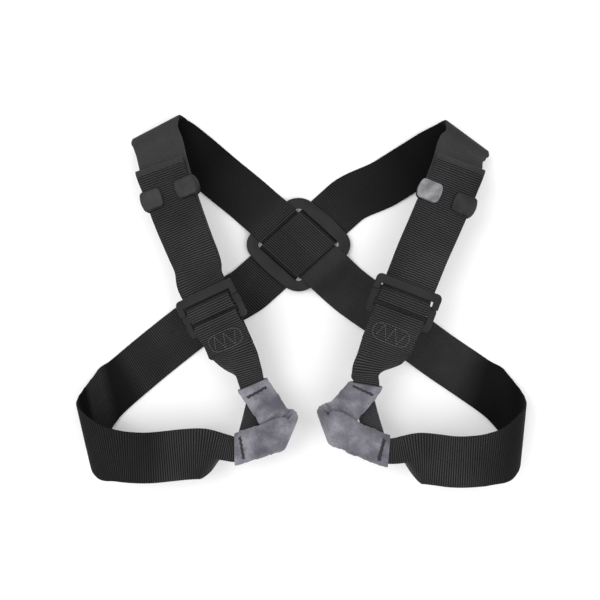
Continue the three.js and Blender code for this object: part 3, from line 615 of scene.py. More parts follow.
def new_object(name, points, faces):
    """A closed piece with smooth shading, whose faces look outwards."""
    mesh = bpy.data.meshes.new(name)
    moved = (np.asarray(points, dtype=float).reshape(-1, 3) + np.array(SHIFT[:])) / 1000
    mesh.from_pydata(moved.tolist(), [], faces)
    mesh.validate()
    mesh.shade_smooth()
    work = bmesh.new()
    work.from_mesh(mesh)
    if work.calc_volume(signed=True) < 0:
        bmesh.ops.reverse_faces(work, faces=work.faces)
    work.to_mesh(mesh)
    work.free()
    made = bpy.data.objects.new(name, mesh)
    bpy.context.scene.collection.objects.link(made)
    return made


def write_map(made, places):
    """A UV map named Lay that holds each vertex's place on the cloth, in metres."""
    layer = made.data.uv_layers.new(name="Lay")
    index = np.empty(len(made.data.loops), dtype=np.int32)
    made.data.loops.foreach_get("vertex_index", index)
    layer.data.foreach_set("uv", (np.asarray(places).reshape(-1, 2)[index] / 1000).astype(np.float32).ravel())


def tube_faces(rings, sides, caps=True):
    """Faces of a closed tube of rings, whose ends are strips between a ring's two halves."""
    faces = []
    for i in range(rings - 1):
        for k in range(sides):
            a = i * sides + k
            b = i * sides + (k + 1) % sides
            faces.append((a, b, b + sides, a + sides))
    if caps:
        last = (rings - 1) * sides
        for k in range(sides // 2 - 1):
            quad = (k, k + 1, sides - 2 - k, sides - 1 - k)
            faces.append(tuple(reversed(quad)))
            faces.append(tuple(last + q for q in quad))
    return faces


# Webbing folded lengthwise by fold, 0 to 1
CREASE_RADIUS = LAYER_STEP / 2
CREASE_ARC = math.pi * CREASE_RADIUS


def folded_places(s, sign, thickness, fold, hand, behind):
    """Places across and heights of points s from the standing edge, on one face of the webbing."""
    angle = math.pi * np.maximum(fold, 1e-3)[:, None]
    fold = fold[:, None]
    radius = CREASE_ARC / angle
    straight = HALF_WIDTH - CREASE_ARC / 2
    start = (CREASE_ARC / 2) * (1 - fold) + CREASE_RADIUS * fold
    lift = CREASE_RADIUS * fold
    s = s[None, :]
    turn = angle * np.clip((s - straight) / CREASE_ARC, 0, 1)
    a = start + np.maximum(straight - s, 0) - radius * np.sin(turn)
    h = lift - radius * (1 - np.cos(turn))
    beyond = np.maximum(s - straight - CREASE_ARC, 0)
    a = a - beyond * np.cos(angle)
    h = h - beyond * np.sin(angle)
    return hand * (a - sign * thickness * np.sin(turn)), behind * (h + sign * thickness * np.cos(turn))


def webbing_sides(creased):
    """Places across the webbing, from one edge to the other."""
    edge = [0.0, 0.07, 0.25, 0.55, 0.95, 1.5, 2.3]
    straight = HALF_WIDTH - CREASE_ARC / 2
    if creased:
        middle = [7.0, 12.0, 17.0] + [straight + CREASE_ARC * k / 6 for k in range(7)]
        middle += [WEBBING_WIDTH - s for s in (17.0, 12.0, 7.0)]
    else:
        middle = [6.0, 11.0, 16.5, 22.5, 28.5, 34.0, 39.0]
    return np.array(edge + middle + [WEBBING_WIDTH - s for s in reversed(edge)])


def rib_wave(distance):
    """0 in the valleys between the ribs and 1 on their crests."""
    return np.sqrt(np.abs(np.sin(np.pi * distance / RIB_PITCH)))


def webbing_piece(name, frames, hand=1, behind=1, creased=False, smooth=0, shade=None, plain=0.0):
    """Ribbed webbing. The smooth face, 1, -1 or 0 for none, and the plain length have flat ribs."""
    lay = Lay(frames, RIB_PITCH / RIB_SAMPLES)
    for item in frames:
        if item.get("mark") == "bend end":
            lay.soften(item["length"])
    s = webbing_sides(creased)
    from_edge = np.minimum(s, WEBBING_WIDTH - s)
    round_off = np.sqrt(np.clip(1 - (1 - np.minimum(from_edge / SELVEDGE, 1)) ** 2, 0, 1))
    ribbed = np.clip((from_edge - SELVEDGE * 1.2) / 1.0, 0, 1)
    flat = lay.distance - lay.start < plain
    depth = RIB_DEPTH * (1 - rib_wave(lay.distance - lay.start)) * np.where(flat, SMOOTH_SHARE, 1)
    faces = []
    for sign in (1, -1):
        share = SMOOTH_SHARE if sign == smooth else 1.0
        thickness = HALF_THICKNESS * round_off[None, :] - share * depth[:, None] * ribbed[None, :]
        faces.append(folded_places(s, sign, thickness, lay.fold, hand, behind))
    front, back = faces
    a = np.concatenate([front[0], back[0][:, ::-1]], axis=1)
    h = np.concatenate([front[1], back[1][:, ::-1]], axis=1)
    points = lay.points(a, h)
    made = new_object(name, points, tube_faces(len(lay.distance), a.shape[1]))
    across = np.concatenate([s + SMOOTH_PLACE * (smooth == 1), s[::-1] + SMOOTH_PLACE * (smooth == -1)])
    across = across[None, :] + SMOOTH_PLACE * flat[:, None]
    places = np.stack(np.broadcast_arrays(across, lay.distance[:, None]), axis=2)
    write_map(made, places)
    # Painted shade along the strap, held in the shade attribute, which darkens the webbing's colour
    painted_shade = np.zeros(len(lay.distance)) if shade is None else shade(lay)
    values = np.repeat(painted_shade, a.shape[1]).astype(np.float32)
    made.data.attributes.new("shade", "FLOAT", "POINT").data.foreach_set("value", values)
    return made


def back_shade(lay):
    """Painted shade: deep black from just behind the shoulder fold, where the front strap shades the back
    strap, which fades towards the ring.
    """
    past = lay.distance - lay.distance[lay.at[:, 1].argmax()]
    rest = past[-1]
    return np.where(past > 0, np.interp(past, [0, 5, 60, rest * 0.75, rest], [0, 1, 1, 0.35, 0.1]), 0)


# Painted shade of the side straps, in dark and light bands, at distances from the middle of the side bend,
# towards the ring
BEND_SHADE = {
    "left": (
        *((-95, 0.1), (-78, 0.6), (-20, 0.5), (-4, 0.6), (2, 1), (12, 1)),
        *((18, 0.2), (34, 0.3), (46, 1), (60, 0.9), (74, 0.3), (120, 0.25)),
    ),
    "right": (
        *((-90, 0.1), (-60, 0.3), (-35, 0.7), (-10, 0.6), (0, 0.9)),
        *((10, 1), (55, 1), (80, 0.5), (120, 0.35)),
    ),
}


def bend_shade(lay):
    """Painted shade in dark and light bands along the side strap, where light falls on the curved webbing."""
    side = "left" if lay.at[0, 0] < 0 else "right"
    spots, tones = zip(*BEND_SHADE[side])
    return np.interp(lay.distance - lay.distance[np.abs(lay.at[:, 0]).argmax()], spots, tones)


# The webbing folded in two, as it lies in the sleeves
FOLDED_WIDTH = HALF_WIDTH - CREASE_ARC / 2 + CREASE_RADIUS + HALF_THICKNESS
FOLDED_MIDDLE = FOLDED_WIDTH / 2 - HALF_THICKNESS
FOLDED_HALF_HEIGHT = CREASE_RADIUS + HALF_THICKNESS


def sleeve_piece(name, side, frames):
    """A cloth tube round the folded webbing, slack and creased, open at both mouths."""
    lay = Lay(frames, 1.0)
    count = len(lay.distance)
    sides = 56
    angle = np.linspace(0, 2 * np.pi, sides, endpoint=False)
    half_width = FOLDED_WIDTH / 2 + SLEEVE_EASE + SLEEVE_WALL
    half_height = FOLDED_HALF_HEIGHT + LAYER_GAP * 2 + SLEEVE_WALL
    shape_a = np.sign(np.cos(angle)) * np.abs(np.cos(angle)) ** SLEEVE_SQUARENESS
    shape_h = np.sign(np.sin(angle)) * np.abs(np.sin(angle)) ** SLEEVE_SQUARENESS
    run = lay.distance - lay.start
    wall = np.zeros((count, sides))
    for k, (pitch, lean, size) in enumerate(SLEEVE_CREASES):
        wave = 2 * np.pi * run[:, None] / pitch + lean * 3 * np.sin(angle)[None, :]
        wall += size * np.sin(wave + CREASE_SEED[side] * (k + 1))
    wall *= (0.4 + 0.6 * np.sin(np.pi * run / lay.total))[:, None]
    from_mouth = np.minimum(run, lay.total - run)
    hem = np.clip((SLEEVE_HEM - from_mouth) / 0.6, 0, 1) * np.clip(from_mouth / 0.5 + 0.4, 0, 1)
    dent = TACK_DENT * np.exp(-(((from_mouth - SLEEVE_TACK) / 1.8) ** 2))
    outside = (SLEEVE_HEM_RISE * hem - dent)[:, None]
    rows = []
    for inset, puff in ((0.0, wall + outside), (SLEEVE_WALL, np.maximum(wall, -0.1) * 0.3)):
        a = (half_width - inset + puff * 0.6) * shape_a[None, :] + HAND[side] * FOLDED_MIDDLE
        h = (half_height - inset + puff) * shape_h[None, :]
        rows.append(lay.points(a, h))
    points = np.concatenate([rows[0].reshape(-1, 3), rows[1].reshape(-1, 3)])
    faces = tube_faces(count, sides, caps=False)
    shift = count * sides
    faces += [tuple(shift + q for q in reversed(face)) for face in faces]
    last = (count - 1) * sides
    for k in range(sides):
        n = (k + 1) % sides
        faces.append((k, shift + k, shift + n, n))
        faces.append((last + k, last + n, shift + last + n, shift + last + k))
    made = new_object(name, points, faces)
    girth = angle / (2 * np.pi) * 4 * (half_width + half_height) * 0.9
    places = np.stack(np.broadcast_arrays(girth[None, :], lay.distance[:, None]), axis=2).reshape(-1, 2)
    write_map(made, np.concatenate([places, places]))
    return made


def tape_piece(name, side, frames):
    """The small tape that closes the chest loop behind."""
    drop = FOLDED_HALF_HEIGHT + 5 * LAYER_GAP + SLEEVE_WALL + TAPE_THICKNESS / 2
    middle = HAND[side] * FOLDED_MIDDLE
    upper = frame_at(frames, frames[0]["length"] + TAPE_WIDTH * 0.7)
    lower = frame_at(frames, frames[-1]["length"] - TAPE_WIDTH * 0.7)
    top = in_frame(upper, middle, -drop)
    foot = in_frame(lower, middle, drop)
    run = foot - top
    run.z = 0
    run.normalize()

    def within(line, normal):
        return line - normal * line.dot(normal)

    def lie(point, shift, normal):
        ruling = within(Vector((run.y, -run.x, 0)), normal).normalized()
        return {"at": point + within(run, normal) * shift, "ruling": ruling}

    middle_up = (upper["up"] - lower["up"]).normalized()
    low = (top + foot) * 0.5 - UP * TAPE_SAG
    stations = [
        lie(top, -TAPE_WIDTH * 0.2, upper["up"]),
        lie(top, TAPE_WIDTH * 0.2, upper["up"]),
        lie(low, 0, middle_up),
        lie(foot, -TAPE_WIDTH * 0.2, lower["up"]),
        lie(foot, TAPE_WIDTH * 0.2, lower["up"]),
    ]
    lay = Lay(follow_route(stations), 0.35)
    s = np.array([0.0, 0.1, 0.4, 0.8, 1.6, 4.0, 6.5, 9.0, 11.5, 14.0, 16.4, 17.2, 17.6, 17.9, 18.0])
    from_edge = np.minimum(s, TAPE_WIDTH - s)
    round_off = np.sqrt(np.clip(1 - (1 - np.minimum(from_edge / TAPE_EDGE, 1)) ** 2, 0, 1))
    ribs = TAPE_RIB_DEPTH * (1 - np.abs(np.sin(np.pi * lay.distance / TAPE_RIB)))
    h = TAPE_THICKNESS / 2 * round_off[None, :] - ribs[:, None] * np.clip(from_edge - 0.8, 0, 1)[None, :]
    a = np.broadcast_to(s[None, :] - TAPE_WIDTH / 2, h.shape)
    points = lay.points(np.concatenate([a, a[:, ::-1]], axis=1), np.concatenate([h, -h[:, ::-1]], axis=1))
    made = new_object(name, points, tube_faces(len(lay.distance), 2 * len(s)))
    across = np.concatenate([s, s[::-1]])
    write_map(made, np.stack(np.broadcast_arrays(across[None, :], lay.distance[:, None]), axis=2))
    return made


def rounding(radius, from_end):
    """How far a rounded corner draws in at distances from its end."""
    return radius - np.sqrt(np.clip(radius**2 - np.clip(radius - from_end, 0, radius) ** 2, 0, None))


def rounded(corners, steps):
    """Points of a section round corners given as x, y, first angle and radius."""
    points = []
    for x, y, first, radius in corners:
        cx = x - math.copysign(radius, x)
        cy = y - math.copysign(radius, y)
        for k in range(steps + 1):
            t = math.radians(first + 90 * k / steps)
            points.append((cx + radius * math.cos(t), cy + radius * math.sin(t)))
    return points


def finger_line(finger, wall, steps):
    """Distances from the clip's side and heights of a finger, from its end to its root."""
    line = []
    for k in range(steps + 1):
        t = math.pi / 2 * k / steps
        line.append((finger - FINGER_END_ROUND * (1 - math.cos(t)), wall * FINGER_SIDE * math.sin(t)))
    for k in range(1, steps):
        dome = FINGER_SIDE + (1 - FINGER_SIDE) * math.sin(math.pi / 2 * k / steps)
        line.append((finger - FINGER_END_ROUND - (finger - FINGER_ROOT) * k / steps, wall * dome))
    return line


def keeper_piece(name, side, main):
    """A moulded clip with rounded fingers round the main strap and the tail."""
    spec = TAIL[side]
    middle = spec["keeper"] * main[-1]["length"]
    within = between(main, middle - KEEPER_LENGTH / 2, middle + KEEPER_LENGTH / 2)
    lay = Lay([{**item, "up": -item["up"]} for item in within], 0.4)
    low = -HALF_THICKNESS - LAYER_GAP
    high = HALF_THICKNESS + LAYER_STEP + LAYER_GAP
    left = -HALF_WIDTH - max(0, -spec["aside"]) * WEBBING_WIDTH - 2 * LAYER_GAP
    right = HALF_WIDTH + max(0, spec["aside"]) * WEBBING_WIDTH + 2 * LAYER_GAP
    from_end = KEEPER_LENGTH / 2 - np.abs(lay.distance - lay.start - lay.total / 2)
    off_middle = (1 - from_end / (KEEPER_LENGTH / 2)) ** 2
    pull = rounding(KEEPER_CORNER, from_end) + FINGER_TAPER * off_middle
    grow = KEEPER_WALL - rounding(KEEPER_RIM, from_end)
    steps = 6
    rows = []
    for g, p, off in zip(grow, pull, off_middle):
        w = max(KEEPER_LEAST_WALL, g + KEEPER_BULGE - KEEPER_TAPER * off)
        finger = KEEPER_FINGER - 2 * LAYER_GAP - p
        line = finger_line(finger, g, steps)
        box = (
            (left - w, high + g, 90, KEEPER_TOP_ROUND),
            (left - w, low - g, 180, KEEPER_FOOT_ROUND),
            (right + w, low - g, 270, KEEPER_FOOT_ROUND),
            (right + w, high + g, 0, KEEPER_TOP_ROUND),
        )
        hole = ((left, high, 90), (left, low, 180), (right, low, 270), (right, high, 0))
        shares = [k / (2 * steps) for k in range(2 * steps + 1)]
        outer = [(left + away, high + rise) for away, rise in line]
        outer += rounded(box, steps)
        outer += [(right - away, high + rise) for away, rise in reversed(line)]
        inner = [(left + finger * (1 - share), high) for share in shares[:-1]]
        inner += rounded([(*corner, LAYER_GAP) for corner in hole], steps)
        inner += [(right - finger * share, high) for share in shares[1:]]
        rows.append(outer + inner[::-1])
    section = np.array(rows)
    points = lay.points(section[:, :, 0], section[:, :, 1])
    return new_object(name, points, tube_faces(len(lay.distance), section.shape[1]))


def ring_outline(half, radius, bulge, steps=12):
    """Points of a rounded square with slightly bulging sides."""
    reach = half - radius
    starts = (-reach, -half), (half, -reach), (reach, half), (-half, reach)
    points = []
    for i, (sx, sy) in enumerate(((1, -1), (1, 1), (-1, 1), (-1, -1))):
        first = math.pi / 2 * (i - 1)
        out = Vector((math.cos(first), math.sin(first)))
        centre = Vector((sx * reach, sy * reach))
        start = Vector(starts[i])
        side = out * (half + 2 * bulge)
        end = centre + out * radius
        for k in range(steps):
            u = k / steps
            points.append(start * (1 - u) ** 2 + side * (2 * u * (1 - u)) + end * u**2)
        for k in range(steps):
            angle = first + math.pi / 2 * k / steps
            points.append(centre + Vector((math.cos(angle), math.sin(angle))) * radius)
    return points


def ring_piece(name):
    """The back ring as a smooth bar with rounded rims."""
    outer = ring_outline(RING_HALF, RING_CORNER_RADIUS + RING_EDGE_ROUND, RING_BULGE)
    inner = ring_outline(RING_OPENING_HALF, RING_CORNER_RADIUS * 0.25 + 0.4, 0)
    rim = RING_EDGE_ROUND
    profile = []
    for centre, low_angle in (((1, 1), 0), ((0, 1), 90), ((0, 0), 180), ((1, 0), 270)):
        for k in range(6):
            angle = math.radians(low_angle + 90 * k / 5)
            profile.append((centre, rim * math.cos(angle), rim * math.sin(angle)))
    skew = 1 / math.sin(math.radians(2 * RING_TURN))
    axes = heading(RING_TURN) * skew, heading(180 - RING_TURN) * skew
    points = []
    for o, n in zip(outer, inner):
        bar = (o - n).length
        side = (o - n) / bar
        for (outside, top), dx, dz in profile:
            x = bar - rim if outside else rim
            z = RING_THICKNESS - rim if top else rim
            flat = n + side * (x + dx)
            points.append(axes[0] * flat.x + axes[1] * flat.y + UP * (RING_BOTTOM + z + dz))
    rings = len(outer)
    sides = len(profile)
    faces = []
    for i in range(rings):
        j = (i + 1) % rings
        for k in range(sides):
            n = (k + 1) % sides
            faces.append((i * sides + k, i * sides + n, j * sides + n, j * sides + k))
    return new_object(name, [p[:] for p in points], faces)


# Sewn threads, and the zigzag in its oval outline below the buckle
THREAD = 0.24
HEM_THREAD = 0.2
HEM_SEAM_HALF = 19.5
SEWN_REACH = 110.0
W_MIDDLE = LOWER_BAR_END + 12.4
W_HALF_WIDTH = 16.5
W_HALF_HEIGHT = 8.0
W_SQUARENESS = 0.62
W_STROKES = ((-12.5, -4.8), (-7.5, 6.8), (-1.5, -6.8), (2.5, 6.8), (8, -6.8), (12.5, 4.3))


def stitch_piece(name, runs, length=1.9, gap=0.6, radius=THREAD):
    """Short thread stitches along runs of (point, normal) pairs."""
    stops = (0, 0.15, 0.5, 0.85, 1)
    sides = 6
    stitch = tube_faces(len(stops), sides)
    space = gap / (length + gap) / 2
    points = []
    faces = []
    for run in runs:
        for (start, first_up), (end, last_up) in zip(run, run[1:]):
            line = end - start
            count = max(1, int(round(line.length / (length + gap))))
            along = line.normalized()
            for k in range(count):
                a = (k + space) / count
                b = (k + 1 - space) / count
                up = first_up.lerp(last_up, (a + b) / 2).normalized()
                side = along.cross(up).normalized()
                faces += [tuple(len(points) + q for q in face) for face in stitch]
                for stop in stops:
                    swell = math.sqrt(max(0.0, 1 - (2 * stop - 1) ** 4))
                    sunk = radius * 0.9 * swell - radius * 0.55
                    centre = start + line * (a + (b - a) * stop) + up * sunk
                    reach = radius * max(0.35, swell)
                    for m in range(sides):
                        t = 2 * math.pi * m / sides
                        flat = side * (reach * math.cos(t))
                        points.append(centre + flat + up * (reach * 0.8 * math.sin(t)))
    return new_object(name, [p[:] for p in points], faces)


def w_stitching(side, chest):
    """The sewn zigzag in its oval outline, on the strap below the buckle's lower bar."""
    seat = buckle_frame(side)
    front = []
    for item in chest:
        reach = (item["at"] - seat["at"]).dot(seat["along"])
        downward = item["along"].dot(seat["along"]) > 0.3
        if item["length"] < SEWN_REACH and downward and reach > LOWER_BAR_END:
            front.append((reach, item["length"]))
    reaches, lengths = zip(*front)

    def spot(a, y):
        item = frame_at(chest, np.interp(W_MIDDLE + y, reaches, lengths))
        return in_frame(item, a, HALF_THICKNESS), item["up"]

    def oval(half, share):
        return half * math.copysign(abs(share) ** W_SQUARENESS, share)

    turns = [2 * math.pi * k / 32 for k in range(33)]
    outline = [spot(oval(W_HALF_WIDTH, math.cos(t)), oval(W_HALF_HEIGHT, math.sin(t))) for t in turns]
    return stitch_piece("w_stitching_" + side, [outline, [spot(*stroke) for stroke in W_STROKES]])


def bar_tacks(side, frames):
    """Dense zigzag tacks across both ends of the sleeve, on the side that faces up."""
    height = FOLDED_HALF_HEIGHT + 2 * LAYER_GAP + SLEEVE_WALL
    middle = HAND[side] * FOLDED_MIDDLE
    runs = []
    for distance, face in ((frames[0]["length"] + SLEEVE_TACK, 1), (frames[-1]["length"] - SLEEVE_TACK, -1)):
        item = frame_at(frames, distance)
        run = []
        for k in range(TACK_STROKES + 1):
            across = middle + TACK_HALF * (2 * k / TACK_STROKES - 1)
            along = (TACK_STROKE + TACK_UNEVEN * math.sin(2.3 * k)) * (1 if k % 2 else -1)
            run.append((in_frame(item, across, face * (height - 0.1), along), item["up"] * face))
        runs.append(run)
    return stitch_piece("bar_tacks_" + side, runs, length=5.0, gap=0.05, radius=TACK_THREAD)


def hem_stitching(side, frames):
    """Two rows of thread across the tail near its turned-under end."""
    top = next(item["length"] for item in frames if item["length"] > HEM_LENGTH * 1.15)
    runs = []
    for distance in (HEM_LENGTH * 0.62, HEM_LENGTH * 0.8):
        item = frame_at(frames, top + distance)
        places = [HEM_SEAM_HALF * (k / 6 - 1) for k in range(13)]
        runs.append([(in_frame(item, across, HALF_THICKNESS), item["up"]) for across in places])
    return stitch_piece("hem_stitching_" + side, runs, length=2.2, gap=0.9, radius=HEM_THREAD)


# Yarns of the webbing and the sleeve cloth
YARN_WIDTH = 1.15
WEAVE = 0.5


def principled(name):
    material = bpy.data.materials.new(name)
    material.use_nodes = True
    tree = material.node_tree
    shader = tree.nodes["Principled BSDF"]
    return material, tree, shader


def math_node(tree, operation, a, b=None):
    node = tree.nodes.new("ShaderNodeMath")
    node.operation = operation
    for k, value in enumerate((a, b)):
        if value is None:
            continue
        if isinstance(value, (int, float)):
            node.inputs[k].default_value = value
        else:
            tree.links.new(value, node.inputs[k])
    return node.outputs[0]


def maths(tree):
    """Short forms of the math nodes: times, plus, less, sine and size without its sign."""
    names = ("MULTIPLY", "ADD", "SUBTRACT", "SINE", "ABSOLUTE")
    return [lambda a, b=None, name=name: math_node(tree, name, a, b) for name in names]


def noise(tree, scale, detail=2.0):
    node = tree.nodes.new("ShaderNodeTexNoise")
    node.inputs["Scale"].default_value = scale
    node.inputs["Detail"].default_value = detail
    tree.links.new(tree.nodes.new("ShaderNodeTexCoord").outputs["Object"], node.inputs["Vector"])
    return node.outputs["Fac"]


def ramp(tree, value, stops):
    node = tree.nodes.new("ShaderNodeValToRGB")
    while len(node.color_ramp.elements) < len(stops):
        node.color_ramp.elements.new(0.5)
    for element, (position, colour) in zip(node.color_ramp.elements, stops):
        element.position = position
        element.color = (*colour, 1)
    tree.links.new(value, node.inputs["Fac"])
    return node.outputs["Color"]


def mix_colour(tree, share, a, b, blend="MIX"):
    node = tree.nodes.new("ShaderNodeMix")
    node.data_type = "RGBA"
    node.blend_type = blend
    for socket, value in ((node.inputs["Factor"], share), (node.inputs["A"], a), (node.inputs["B"], b)):
        if isinstance(value, (int, float)):
            socket.default_value = value
        elif isinstance(value, tuple):
            socket.default_value = (*value, 1)
        else:
            tree.links.new(value, socket)
    return node.outputs["Result"]


def bump(tree, shader, height, distance, strength=1.0):
    node = tree.nodes.new("ShaderNodeBump")
    node.inputs["Distance"].default_value = distance
    node.inputs["Strength"].default_value = strength
    tree.links.new(height, node.inputs["Height"])
    tree.links.new(node.outputs["Normal"], shader.inputs["Normal"])


def lay_coordinates(tree):
    """Places on the cloth in millimetres: across and along."""
    uv = tree.nodes.new("ShaderNodeUVMap")
    uv.uv_map = "Lay"
    parts = tree.nodes.new("ShaderNodeSeparateXYZ")
    tree.links.new(uv.outputs["UV"], parts.inputs[0])
    across = math_node(tree, "MULTIPLY", parts.outputs["X"], 1000.0)
    along = math_node(tree, "MULTIPLY", parts.outputs["Y"], 1000.0)
    return across, along


def webbing_material(name, pitch=RIB_PITCH, base=(0.0022, 0.0022, 0.0026), light=(0.1, 0.1, 0.103)):
    """Black ribbed webbing: warp yarns that pass over and under, ribs with painted shade in their valleys,
    and patches.
    """
    material, tree, shader = principled(name)
    times, plus, less, sine, size = maths(tree)
    across, along = lay_coordinates(tree)
    rib = size(sine(times(along, math.pi / pitch)))
    step = math_node(tree, "FLOOR", math_node(tree, "DIVIDE", along, pitch))
    yarn = size(sine(plus(times(across, math.pi / YARN_WIDTH), times(step, math.pi / 2))))
    height = plus(times(yarn, 0.6), times(rib, 0.7))
    smooth = math_node(tree, "GREATER_THAN", across, SMOOTH_PLACE * 0.8)
    ribbed = less(1.0, times(smooth, 1 - SMOOTH_SHARE))
    # Painted shade: the valleys between the ribs are darker, less so on the smooth face
    valley_shade = times(less(1.0, math_node(tree, "POWER", rib, 1.6)), ribbed)
    # Painted shade from the shade attribute darkens the colour
    painted_shade = tree.nodes.new("ShaderNodeAttribute")
    painted_shade.attribute_name = "shade"
    open_light = less(1.0, times(painted_shade.outputs["Fac"], 0.93))
    lit = times(times(less(1.0, valley_shade), plus(yarn, 0.35)), open_light)
    patches = noise(tree, 18.0, 3.0)
    fine = noise(tree, 900.0, 2.0)
    share = times(lit, plus(times(patches, 0.7), 0.1))
    share = times(share, plus(times(fine, 0.9), 0.45))
    colour = mix_colour(tree, share, base, light)
    tree.links.new(colour, shader.inputs["Base Color"])
    rough = ramp(tree, patches, ((0.3, (0.5, 0.5, 0.5)), (0.7, (0.66, 0.66, 0.66))))
    tree.links.new(rough, shader.inputs["Roughness"])
    shader.inputs["Specular IOR Level"].default_value = 0.05
    shader.inputs["Sheen Weight"].default_value = 0.008
    shader.inputs["Sheen Roughness"].default_value = 0.4
    bump(tree, shader, plus(height, times(fine, 0.35)), 0.00016)
    return material


def sleeve_material():
    """Grey cloth with a plain weave, uneven yarns and rubbed places."""
    material, tree, shader = principled("sleeve_cloth")
    times, plus, _, sine, _ = maths(tree)
    across, along = lay_coordinates(tree)
    cloth = times(sine(times(across, math.pi / WEAVE)), sine(times(along, math.pi / WEAVE)))
    patches = noise(tree, 60.0, 4.0)
    broad = noise(tree, 22.0, 2.0)
    fine = noise(tree, 1400.0, 2.0)
    greys = (0.34, (0.09, 0.088, 0.105)), (0.5, (0.17, 0.166, 0.192)), (0.66, (0.3, 0.292, 0.33))
    colour = ramp(tree, patches, greys)
    colour = mix_colour(tree, times(broad, 0.5), colour, (0.115, 0.112, 0.14))
    grain = ramp(tree, fine, ((0.3, (0.6, 0.6, 0.6)), (0.7, (1.3, 1.3, 1.3))))
    colour = mix_colour(tree, 0.8, colour, grain, "MULTIPLY")
    tree.links.new(colour, shader.inputs["Base Color"])
    shader.inputs["Roughness"].default_value = 0.85
    shader.inputs["Specular IOR Level"].default_value = 0.25
    shader.inputs["Sheen Weight"].default_value = 0.25
    shader.inputs["Sheen Roughness"].default_value = 0.5
    bump(tree, shader, plus(plus(times(cloth, 0.5), times(patches, 2.0)), fine), 0.0002)
    return material


def metal_material():
    """Dark coated steel, semi-matt, with a fine grain and uneven patches."""
    material, tree, shader = principled("dark_metal")
    grain = noise(tree, 1600.0, 2.0)
    patches = noise(tree, 45.0, 4.0)
    colour = ramp(tree, patches, ((0.35, (0.007, 0.007, 0.0075)), (0.7, (0.015, 0.015, 0.016))))
    tree.links.new(colour, shader.inputs["Base Color"])
    shader.inputs["Specular IOR Level"].default_value = 0.22
    rough = ramp(tree, patches, ((0.3, (0.36, 0.36, 0.36)), (0.75, (0.5, 0.5, 0.5))))
    tree.links.new(rough, shader.inputs["Roughness"])
    bump(tree, shader, grain, 0.00005, 0.6)
    return material


def plastic_material(name, dark, light):
    """Moulded plastic with a faint grain and cloudy rubbed places."""
    material, tree, shader = principled(name)
    grain = noise(tree, 2200.0, 2.0)
    patches = noise(tree, 110.0, 3.0)
    colour = ramp(tree, patches, ((0.35, dark), (0.65, light)))
    tree.links.new(colour, shader.inputs["Base Color"])
    shader.inputs["Roughness"].default_value = 0.5
    shader.inputs["Specular IOR Level"].default_value = 0.3
    bump(tree, shader, grain, 0.00006, 0.5)
    return material


def thread_material(name, colour):
    """Twisted polyester thread."""
    material, tree, shader = principled(name)
    twist = noise(tree, 3000.0, 2.0)
    dark = tuple(c * 0.7 for c in colour)
    light = tuple(c * 1.2 for c in colour)
    shade = ramp(tree, twist, ((0.35, dark), (0.65, light)))
    tree.links.new(shade, shader.inputs["Base Color"])
    shader.inputs["Roughness"].default_value = 0.6
    bump(tree, shader, twist, 0.00008)
    return material


def floor_material():
    """A plain pale surface."""
    material, tree, shader = principled("floor")
    shade = ramp(tree, noise(tree, 3.0, 2.0), ((0.3, (0.93, 0.93, 0.93)), (0.7, (0.95, 0.95, 0.95))))
    tree.links.new(shade, shader.inputs["Base Color"])
    shader.inputs["Roughness"].default_value = 0.9
    shader.inputs["Specular IOR Level"].default_value = 0.1
    return material


# Camera: straight above, as the photograph was taken, with its focal length in pixels of the photograph
CAMERA_AT = (-0.000805, -0.003683, 0.64018)
SENSOR_WIDTH = 36.0
FOCAL_PIXELS = 681
PHOTO_WIDTH = 600
lens = bpy.data.cameras.new("camera")
lens.sensor_width = SENSOR_WIDTH
lens.lens = SENSOR_WIDTH * FOCAL_PIXELS / PHOTO_WIDTH
lens.clip_start = 0.01
camera = bpy.data.objects.new("camera", lens)
camera.location = CAMERA_AT
bpy.context.scene.collection.objects.link(camera)
bpy.context.scene.camera = camera

# Pieces
webbing = webbing_material("webbing")
# The tape's colours are lighter than the webbing's; part of that is painted light, which lifts the tape out
# of the shade under the sleeve
tape = webbing_material("tape", pitch=1.4, base=(0.012, 0.012, 0.013), light=(0.15, 0.15, 0.155))
sleeve_cloth = sleeve_material()
dark_metal = metal_material()
plastic = plastic_material("keeper_plastic", (0.007, 0.007, 0.0075), (0.016, 0.016, 0.0165))
# Painted highlight: a lighter grey plastic that stands in for the glint on one keeper finger
highlight_plastic = plastic_material("highlight_plastic", (0.13, 0.13, 0.135), (0.27, 0.27, 0.28))
thread = thread_material("thread", (0.11, 0.11, 0.115))
dark_thread = thread_material("dark_thread", (0.012, 0.012, 0.013))


# The face of a side strap that has flat ribs
SMOOTH_SIDE = {"left": 0, "right": -1}


def dress(made, material, slot, *nodes):
    made.data.materials.append(material)
    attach(made, "root")
    if nodes:
        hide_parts(*nodes)


def paint_finger_highlight(keeper, side, main):
    """Paints a highlight on the right keeper's finger towards the ring, as a lighter grey plastic."""
    keeper.data.materials.append(highlight_plastic)
    item = frame_at(main, TAIL[side]["keeper"] * main[-1]["length"])
    top = -HALF_THICKNESS - LAYER_STEP - LAYER_GAP - 0.1
    for face in keeper.data.polygons:
        centre = face.center * 1000 - SHIFT - item["at"]
        if centre.dot(item["across"]) > 3.5 and centre.dot(item["up"]) < top:
            face.material_index = 1


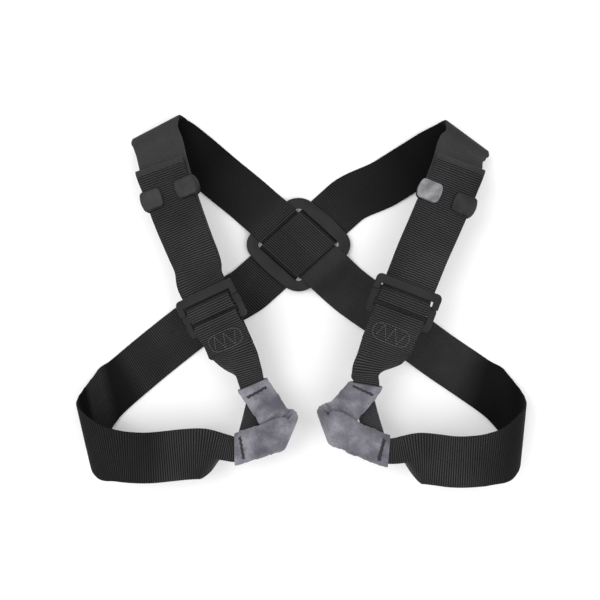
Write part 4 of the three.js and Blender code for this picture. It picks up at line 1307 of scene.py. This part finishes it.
dress(ring_piece("ring_bar"), dark_metal, "dark_metal", "back_ring")
for side in SIDES:
    main = follow_route(main_stations(side))
    chest = chest_route(side)
    tip = marked(chest, "tip")
    end = chest[-1]["length"]
    mouths = marked(chest, "upper mouth"), marked(chest, "lower mouth")
    sleeve = between(chest, *mouths)
    hand = HAND[side]
    shoulder = shoulder_frames(side, main)
    strap = webbing_piece("shoulder_webbing_" + side, shoulder, smooth=-1, shade=back_shade, plain=PLAIN_HEM)
    dress(strap, webbing, "webbing", "shoulder_strap_" + side)
    lay = between(chest, tip + LAYER_GAP, end)
    strap = webbing_piece("side_webbing_" + side, lay, hand, -1, True, SMOOTH_SIDE[side], bend_shade)
    dress(strap, webbing, "webbing", "side_strap_" + side)
    lay = between(chest, 0, tip - LAYER_GAP)
    dress(webbing_piece("loop_webbing_" + side, lay, hand, 1, True), webbing, "webbing", "loop_strap_" + side)
    dress(sleeve_piece("sleeve_" + side, side, sleeve), sleeve_cloth, "sleeve_cloth", "loop_sleeve_" + side)
    dress(tape_piece("tape_" + side, side, sleeve), tape, "tape", "loop_tape_" + side)
    keeper = keeper_piece("keeper_" + side, side, main)
    dress(keeper, plastic, "keeper_plastic", "strap_keeper_" + side)
    if side == "right":
        paint_finger_highlight(keeper, side, main)
    dress(w_stitching(side, chest), thread, "tape")
    dress(bar_tacks(side, sleeve), dark_thread, "tape")
    dress(hem_stitching(side, shoulder), dark_thread, "tape")
    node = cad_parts["ladder_buckle_" + side]
    for k in range(len(node.material_slots)):
        node.material_slots[k].material = dark_metal

# Floor and light
floor_mesh = bpy.data.meshes.new("floor")
floor_mesh.from_pydata([(-3, -3, 0), (3, -3, 0), (3, 3, 0), (-3, 3, 0)], [], [(0, 1, 2, 3)])
floor = bpy.data.objects.new("floor", floor_mesh)
floor_mesh.materials.append(floor_material())
bpy.context.scene.collection.objects.link(floor)


def area_light(name, at, size, power):
    """A round light that points at the middle of the surface."""
    data = bpy.data.lights.new(name, "AREA")
    data.shape = "DISK"
    data.size = size
    data.energy = power
    made = bpy.data.objects.new(name, data)
    made.location = at
    made.rotation_euler = (-Vector(at)).to_track_quat("-Z", "Y").to_euler()
    bpy.context.scene.collection.objects.link(made)


area_light("key", (-0.8, 0.3, 1.5), 0.9, 8)
area_light("fill", (0.9, -0.5, 1.5), 1.2, 5)
world = bpy.data.worlds.new("world")
bpy.context.scene.world = world
world.use_nodes = True
world.node_tree.nodes["Background"].inputs["Color"].default_value = (1, 1, 1, 1)
world.node_tree.nodes["Background"].inputs["Strength"].default_value = 1.0
bpy.context.scene.view_settings.view_transform = "Standard"
